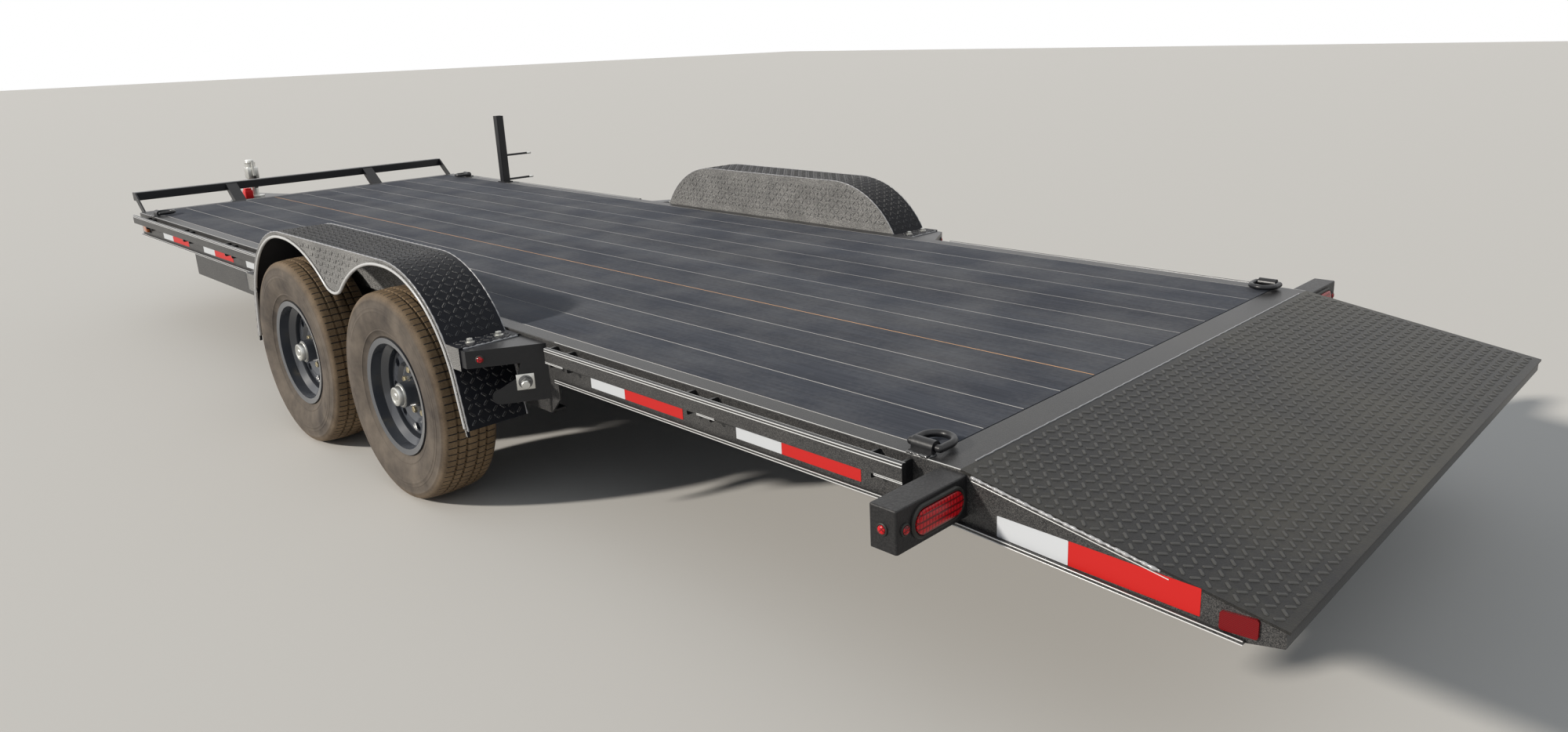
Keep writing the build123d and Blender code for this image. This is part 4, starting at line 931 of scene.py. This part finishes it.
def oval_on_box(length, height, steps):
    """An oval on the rear of the light box, raised by (inset, depth) steps."""
    deselect()
    bpy.ops.mesh.primitive_circle_add(vertices=48, radius=height / 2, fill_type="NGON")
    plate = bpy.context.object
    edit(plate)
    for direction in (1, -1):
        pick(plate, lambda c, n: c.x * direction > 0.0001, "VERT")
        bpy.ops.transform.translate(value=(direction * (length - height) / 2, 0, 0))
    bpy.ops.mesh.select_mode(type="FACE")
    pick_all()
    for inset, depth in steps:
        if inset:
            bpy.ops.mesh.inset(thickness=inset, depth=depth)
        else:
            raise_face(depth)
    done_editing()
    return settle(plate, Matrix(((0, 0, -1, BOX_REAR), (1, 0, 0, LENS_Y), (0, -1, 0, LENS_Z), (0, 0, 0, 1))))


def on_bracket(end, along, z):
    """A place on the slanting face of a left fender bracket, and the way that face looks."""
    corner = Vector((FENDER_X + end * BRACKET_X, BRACKET_Y, z))
    return corner + Vector((end * SLANT_X, -SLANT_Y, 0)) * along, Vector((end * SLANT_Y, SLANT_X, 0))


rings = [oval_on_box(0.184, 0.080, ((0, 0.0035), (0.003, 0.0035), (0.0045, 0.0), (0.0020, -0.0030)))]
lenses = [oval_on_box(0.163, 0.059, ((0, 0.0082), (0.003, 0.0018), (0.007, 0.0012), (0.008, 0.0006)))]
for place, outward in (
    ((BOX_REAR, BOX_END - 0.027, LENS_Z), (-1, 0, 0)),
    ((BOX_REAR + 0.038, BOX_END, LENS_Z), (0, 1, 0)),
    on_bracket(-1, 0.043, 0.622),
):
    rings.append(spun_shape("ring", place, outward, MARKER_RING, 28))
    lenses.append(spun_shape("lens", place, outward, MARKER_LENS, 28))
finish_pair(merge_pieces(rings), "lamp_rings", DARK_RUBBER, 35)
finish_pair(merge_pieces(lenses), "lamp_lenses", RED_LENS, 35, "tail_lamps")
print("lamps and markers done")

# %% [markdown]
# A clearance lamp with an amber lens is screwed to each front corner of the side rail, under the rub rail. It is
# a low box with rounded edges on a flat base.

# %% Amber lamps
amber_rear, amber_front, amber_low, amber_high = HINGE + 6.075, HINGE + 6.150, 0.556, 0.612
BASE_RIM = 0.004
base = rounded_block("base", (amber_rear, HALF, amber_low), (amber_front, HALF + 0.006, amber_high), 0.002)
amber = rounded_block("amber", (amber_rear + BASE_RIM, HALF + 0.003, amber_low + BASE_RIM),
                      (amber_front - BASE_RIM, HALF + 0.022, amber_high - BASE_RIM), 0.006, 3)
finish_pair(base, "amber_base", DARK_RUBBER, 30)
finish_pair(amber, "amber_lamp", AMBER_LENS, 35)
print("amber lamps done")

# %% [markdown]
# The fenders are bolted down. Each end of a fender has a flat foot of checker plate on a bracket, with two zinc
# hexagon bolts and washers through it. The gusset below carries one large bolt with a square washer, and its round
# end stands out past the nut. Bolts are the same shape at every size, so one function makes them: washer, hexagon
# and the round top of the head.

# %% Bracket bolts
WASHER_TOP = 0.0026
FOOT_BOLT_X, FOOT_BOLT_Y, FOOT_TOP = 0.912, (1.075, 1.178), 0.6595
ROUND_END = [(0.015, 0.0145), (0.042, 0.0145), (0.0445, 0.012), (0.045, 0.0002)]


def build_bolt(place, outward, across, washer, height):
    """A washer with a hexagon head on it, at a place, looking outward."""
    rim = [(0, washer), (0.0022, washer), (WASHER_TOP, washer - 0.001), (WASHER_TOP, 0.001)]
    disc = spun_shape("washer", (0, 0, 0), (0, 0, 1), rim, 24)
    deselect()
    bpy.ops.mesh.primitive_cylinder_add(vertices=6, radius=across / math.sqrt(3), depth=height,
                                        location=(0, 0, WASHER_TOP + height / 2))
    head = bpy.context.object
    edit(head)
    pick(head, lambda c, n: n.z > 0.9)
    bpy.ops.mesh.inset(thickness=across * 0.08, depth=0)
    pick(head, lambda c, n: n.z > 0.9 and c.xy.length < 0.0005)
    raise_face(height * 0.12)
    bpy.ops.transform.resize(value=(0.86, 0.86, 1))
    done_editing()
    return settle(merge_pieces([disc, head]), looking(place, outward))


bolts, nuts = [], []
for end in (1, -1):
    for y in FOOT_BOLT_Y:
        bolts.append(build_bolt((FENDER_X + end * FOOT_BOLT_X, y, FOOT_TOP), (0, 0, 1), 0.019, 0.016, 0.010))
    place, outward = on_bracket(end, 0.175, 0.531)
    washer = rounded_block("square_washer", (-0.029, -0.027, 0), (0.029, 0.027, 0.005), 0.0018)
    bolts.append(settle(washer, looking(place, outward)))
    bolts.append(spun_shape("round_end", place, outward, ROUND_END, 24))
    nuts.append(build_bolt(place + outward * 0.004, outward, 0.036, 0.023, 0.014))
finish_pair(merge_pieces(bolts), "bracket_bolts", ZINC, 30)
finish_pair(merge_pieces(nuts), "bracket_nuts", BARE_STEEL, 30)
print("bracket bolts done")

# %% [markdown]
# Steel sheets and sections show their edges as fine bright lines, because an edge is never sharp: it is rolled
# or ground round, and somewhere on that roundness the light is thrown back. The solids have sharp edges, so thin
# round rods are laid along the ones that catch the light. The rods are painted pale grey on the black steel, as a
# painted highlight of that thrown-back light. The fender skirt's rolled edge is a thicker pale rod of the same kind.

# %% Bright edges
# Pale grey paint for the rods: painted highlights on the black steel edges.
EDGE_HIGHLIGHT_PAINT = paint("edge_paint", (0.62, 0.62, 0.62), 0.25, 0.06, 0.05, 0.5, 400.0, 0.05)
ROLLED_HIGHLIGHT_PAINT = paint("rolled_edge_paint", (0.50, 0.50, 0.50), 0.30, 0.10, 0.05, 0.3, 300.0, 0.6)
TAIL_FALL = TAIL_DROP / TAIL_RUN
LIP_Y, LIP_TOP, LIP_LOW, LIP_RADIUS = HALF + 0.012, 0.538, 0.530, 0.0013
# Level edges: the spans along the trailer, and the (y, z, radius) of the lines in each
LEVEL_EDGES = (
    (((0.0, 1.640), (3.990, 6.240)),
     ((LIP_Y, LIP_TOP, LIP_RADIUS), (LIP_Y, LIP_LOW, LIP_RADIUS), (HALF - 0.0015, DECK - 0.001, 0.0010))),
    (((0.130, 1.625), (3.990, 6.204)),
     ((1.0515, 0.6575, 0.0009), (1.0628, 0.6560, 0.0015), (1.0638, 0.6490, 0.0015))),
    (((0.130, 0.217), (0.790, 0.865), (1.525, 1.625)), ((1.0632, 0.6125, 0.0012), (1.0632, 0.6085, 0.0012))),
)
# Edges of the tail: the front and the rear end along the trailer, y, both heights and the radius
TAIL_EDGES = (
    (-0.030, -0.500, HALF + 0.0005, DECK - 0.020, DECK - 0.020 - 0.470 * TAIL_FALL, 0.0012),
    (0.0, -0.655, LIP_Y, LIP_TOP, 0.504, LIP_RADIUS),
    (0.0, -0.655, LIP_Y, LIP_LOW, 0.496, LIP_RADIUS),
)


def rod_along(points, radius, sides=8):
    """A round rod through the points, closed at both ends. The radius may be a function of the step."""
    points = [Vector(point) for point in points]
    last = len(points) - 1
    rim, faces = [], []
    for number, point in enumerate(points):
        ahead = (points[min(number + 1, last)] - points[max(number - 1, 0)]).normalized()
        level = ahead.cross(Vector((0, 0, 1)))
        level = level.normalized() if level.length > 0.01 else Vector((0, 1, 0))
        up = level.cross(ahead)
        size = radius(number) if callable(radius) else radius
        for step in range(sides):
            turn = math.tau * step / sides
            rim.append(point + level * math.cos(turn) * size + up * math.sin(turn) * size)
    for number in range(last):
        for step in range(sides):
            a, b = number * sides + step, number * sides + (step + 1) % sides
            faces.append((a, b, b + sides, a + sides))
    faces.append(tuple(range(sides)))
    faces.append(tuple(last * sides + step for step in reversed(range(sides))))
    return mesh_piece("rod", rim, faces)


def straight_edge(front, rear, y, front_z, rear_z, radius):
    return rod_along(((HINGE + front, y, front_z), (HINGE + rear, y, rear_z)), radius)


def skirt_outline():
    """The outer skirt's lower edge, from one end of the fender to the other."""
    side = [(x / 1000, arch_height(x / 1000)) for x in range(0, 445, 12)]
    reach = ROOF_LENGTH / 2 + ARCH_X
    while reach < ROOF_LENGTH - 0.002:
        point, along, normal = along_roof(reach)
        side.append((point.x - normal.x * 0.020 - FENDER_X, point.z - normal.z * 0.020))
        reach += 0.012
    return [(-x, z) for x, z in reversed(side[1:])] + side


edges = [straight_edge(start, end, y, z, z, radius)
         for spans, lines in LEVEL_EDGES for start, end in spans for y, z, radius in lines]
edges += [straight_edge(*line) for line in TAIL_EDGES]
finish_pair(merge_pieces(edges), "bright_edges", EDGE_HIGHLIGHT_PAINT, 60)
rolled = rod_along([(FENDER_X + x, OUTER_Y - 0.001, z) for x, z in skirt_outline()], 0.0062, 10)
finish_pair(rolled, "rolled_edge", ROLLED_HIGHLIGHT_PAINT, 60)
print("edges done")

# %% [markdown]
# A weld is the same rod, but it swells and pinches along its length and strays a little from its line, as a
# bead that was laid by hand. Long beads run down the tail's edges, along both edges of the fender roofs, at
# the fender feet and across the hinge of the tail.

# %% Long welds
# The long beads are painted pale grey over the black paint: a painted highlight of the glints on their ripples.
WELD_PAINT = paint("weld_paint", (0.34, 0.34, 0.35), 0.22, 0.10, 0.06, 0.6, 500.0, 0.4)
RIPPLE = 0.009
TAIL_WELD, FOOT_WELD = (-0.030, -0.482), (1.030, 1.225)
FOOT_END, FOOT_WELD_Z = 0.9545, 0.6545


def bead_points(start, end, step=0.006):
    """Places along a weld, a few millimetres apart, that stray a little from the line."""
    start, end = Vector(start), Vector(end)
    count = max(2, int((end - start).length / step))
    aside = (end - start).normalized().cross(Vector((0, 0, 1))).normalized()
    return [start.lerp(end, n / count) + aside * math.sin(n * 1.7) * math.sin(n * 0.31) * 0.0012
            for n in range(count + 1)]


def swell(number):
    return 0.0034 + 0.0009 * math.sin(number * 1.9) + 0.0007 * math.sin(number * 0.63)


def ripple(number):
    return 0.0021 + 0.0008 * math.sin(number * 1.6)


welds = []
for sign in (1, -1):
    for y in (OUTER_Y - 0.001, INNER_Y + 0.001):
        roof = [along_roof(min(step * RIPPLE, ROOF_LENGTH))[0] for step in range(int(ROOF_LENGTH / RIPPLE) + 1)]
        welds.append(rod_along([(point.x, sign * y, point.z) for point in roof], ripple))
    tail = [(HINGE + x, sign * (HALF + 0.001), DECK - 0.006 + x * TAIL_FALL) for x in TAIL_WELD]
    welds.append(rod_along(bead_points(*tail), swell))
    for end in (1, -1):
        foot = [(FENDER_X + end * FOOT_END, sign * y, FOOT_WELD_Z) for y in FOOT_WELD]
        welds.append(rod_along(bead_points(*foot), swell))
hinge = [(HINGE + 0.002, y, DECK + 0.0005) for y in (HALF - 0.06, -HALF + 0.06)]
welds.append(rod_along(bead_points(*hinge, 0.012), 0.0022))
finish_piece(merge_pieces(welds, "long_welds"), "frame", WELD_PAINT, 60)
print("long welds", len(welds))

# %% [markdown]
# Each D-ring is held by a folded strap that is welded down along both feet. The welds are short thick beads with
# bright ripples.

# %% Ring welds
RING_WELD_PAINT = paint("ring_weld_paint", (0.05, 0.05, 0.052), 0.16, 0.10, 0.06, 1.0, 500.0, 0.4)
# Both ends of each bead, from the middle of the strap, y and above the deck
RING_BEADS = (
    ((-0.030, 1.0150, 0.003), (0.030, 1.0150, 0.003)),
    ((-0.0315, 0.985, 0.001), (-0.0315, 1.0140, 0.001)),
    ((0.0315, 0.985, 0.001), (0.0315, 1.0140, 0.001)),
)
ring_welds = []
for ring in ("left_rear_ring", "left_front_ring"):
    ring_low, ring_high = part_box(ring)
    middle = Vector(((ring_low.x + ring_high.x) / 2, 0, DECK))
    for start, end in RING_BEADS:
        ring_welds.append(rod_along(bead_points(middle + Vector(start), middle + Vector(end), 0.004), swell))
finish_pair(merge_pieces(ring_welds), "ring_welds", RING_WELD_PAINT, 60)
print("ring welds done")

# %% [markdown]
# The sawn edges of the planks are lighter than their faces, and they show as thin pale lines along the gaps. Each
# line is a narrow strip on the edge of a plank, one side of every gap. One edge is bare, and browner.

# %% Plank edges
EDGE_WOOD = rubber("sawn_edge", (0.55, 0.54, 0.53), (0.20, 0.19, 0.19, 1), 0.7, 0.8)
BARE_WOOD = rubber("bare_edge", (0.88, 0.50, 0.25), (0.30, 0.22, 0.14, 1), 0.5, 0.8)
PLANKS, GAP, BARE_ONE = 11, 0.004, 7
plank_low, plank_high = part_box("deck_planks")
plank_step = (plank_high.y - plank_low.y + GAP) / PLANKS
strips = []
for number in range(PLANKS + 1):
    y = plank_low.y - GAP + number * plank_step
    strips.append(rounded_block("plank_edge", (plank_low.x + 0.004, y - 0.0006, DECK - 0.016),
                                (plank_high.x - 0.004, y + 0.0012, DECK - 0.0004), 0.0003, 1))
bare = strips.pop(BARE_ONE)
bare.name = "bare_plank_edge"
finish_piece(merge_pieces(strips, "pale_plank_edges"), "frame", EDGE_WOOD)
finish_piece(bare, "frame", BARE_WOOD)
print("plank edges", PLANKS + 1)

# %% [markdown]
# The jack's head is a zinc plated gear housing with a round cap on it, and its crank ends in a rubber grip. Behind
# the jack a small red switch box stands on the nose plate. Both are seen only from the deck up, over the front
# rail, so plain blocks and turned shapes with soft edges are enough. The housing is bored for the tube, because the
# jack's leg slides up through it.

# %% Jack head and switch box
RED_PLASTIC = rubber("red_plastic", (0.62, 0.010, 0.012), (0.40, 0.10, 0.08, 1), 0.2, 0.35)
HOUSING_LOW, HOUSING_TOP, BORE_RADIUS = 0.672, 0.760, 0.027
HEAD_CAP = [(0.782, 0.020), (0.782, 0.0345), (0.785, 0.036), (0.792, 0.036), (0.794, 0.0285), (0.808, 0.0275),
            (0.8125, 0.024), (0.814, 0.0002)]
GRIP = [(0.606, 0.0002), (0.606, 0.0105), (0.608, 0.0125), (0.612, 0.0128), (0.690, 0.0118), (0.694, 0.0128),
        (0.697, 0.0110), (0.697, 0.0081)]


def bore(piece, x, radius, low, high):
    deselect()
    bpy.ops.mesh.primitive_cylinder_add(vertices=48, radius=radius, depth=high - low,
                                        location=(x, 0, (low + high) / 2))
    drill = bpy.context.object
    cut = piece.modifiers.new("bore", "BOOLEAN")
    cut.operation = "DIFFERENCE"
    cut.object = drill
    take_up(piece)
    bpy.ops.object.modifier_apply(modifier="bore")
    bpy.data.objects.remove(drill)


jack_low, jack_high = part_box("jack_leg")
jack_x = (jack_low.x + jack_high.x) / 2
housing = rounded_block("jack_housing", (jack_x - 0.036, -0.042, HOUSING_LOW), (jack_x + 0.036, 0.036, HOUSING_TOP),
                        0.008, 3)
bore(housing, jack_x, BORE_RADIUS, HOUSING_LOW - 0.012, HOUSING_TOP - 0.005)
cap = spun_shape("jack_cap", (jack_x, 0, 0), (0, 0, 1), HEAD_CAP, 32)
finish_piece(merge_pieces([housing, cap], "jack_head"), "frame", ZINC, 35)
grip = spun_shape("crank_grip", (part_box("jack_tube")[0].x + 0.008, 0, 0), (0, 0, 1), GRIP, 24)
finish_piece(grip, "frame", DARK_RUBBER, 35)
box_x, box_z = jack_x - 0.080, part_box("tongue_plate")[1].z
body = rounded_block("switch_body", (box_x - 0.030, 0.046, box_z), (box_x + 0.030, 0.100, box_z + 0.062), 0.005, 3)
top = rounded_block("switch_top", (box_x - 0.024, 0.052, box_z + 0.060), (box_x + 0.024, 0.094, box_z + 0.077),
                    0.004, 3)
finish_piece(merge_pieces([body, top], "switch_box"), "frame", RED_PLASTIC, 35)
print("jack head at", round(jack_x, 3))

# %% [markdown]
# The post for the spare wheel carries two threaded studs. Their ends are bare, where the paint was kept off the
# thread, so each gets a bright sleeve with fine rings.

# %% Stud tips
post_low, post_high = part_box("spare_post")
post_x, stud_middle = (post_low.x + post_high.x) / 2, post_low.z + 0.098
TIP = [(-0.0004, 0.0002), (-0.0004, 0.0060), (0.0020, 0.0074)]
THREAD = [(0.006 + 0.0015 * step, 0.0078 if step % 2 else 0.0072) for step in range(18)]
stud_heights = (stud_middle - NUT_CIRCLE, stud_middle + NUT_CIRCLE)
tips = [spun_shape("tip", (post_x, post_low.y, z), (0, 1, 0), TIP + THREAD, 16) for z in stud_heights]
finish_piece(merge_pieces(tips, "stud_tips"), "frame", ZINC, 30)
print("stud tips at", [round(z, 4) for z in stud_heights])
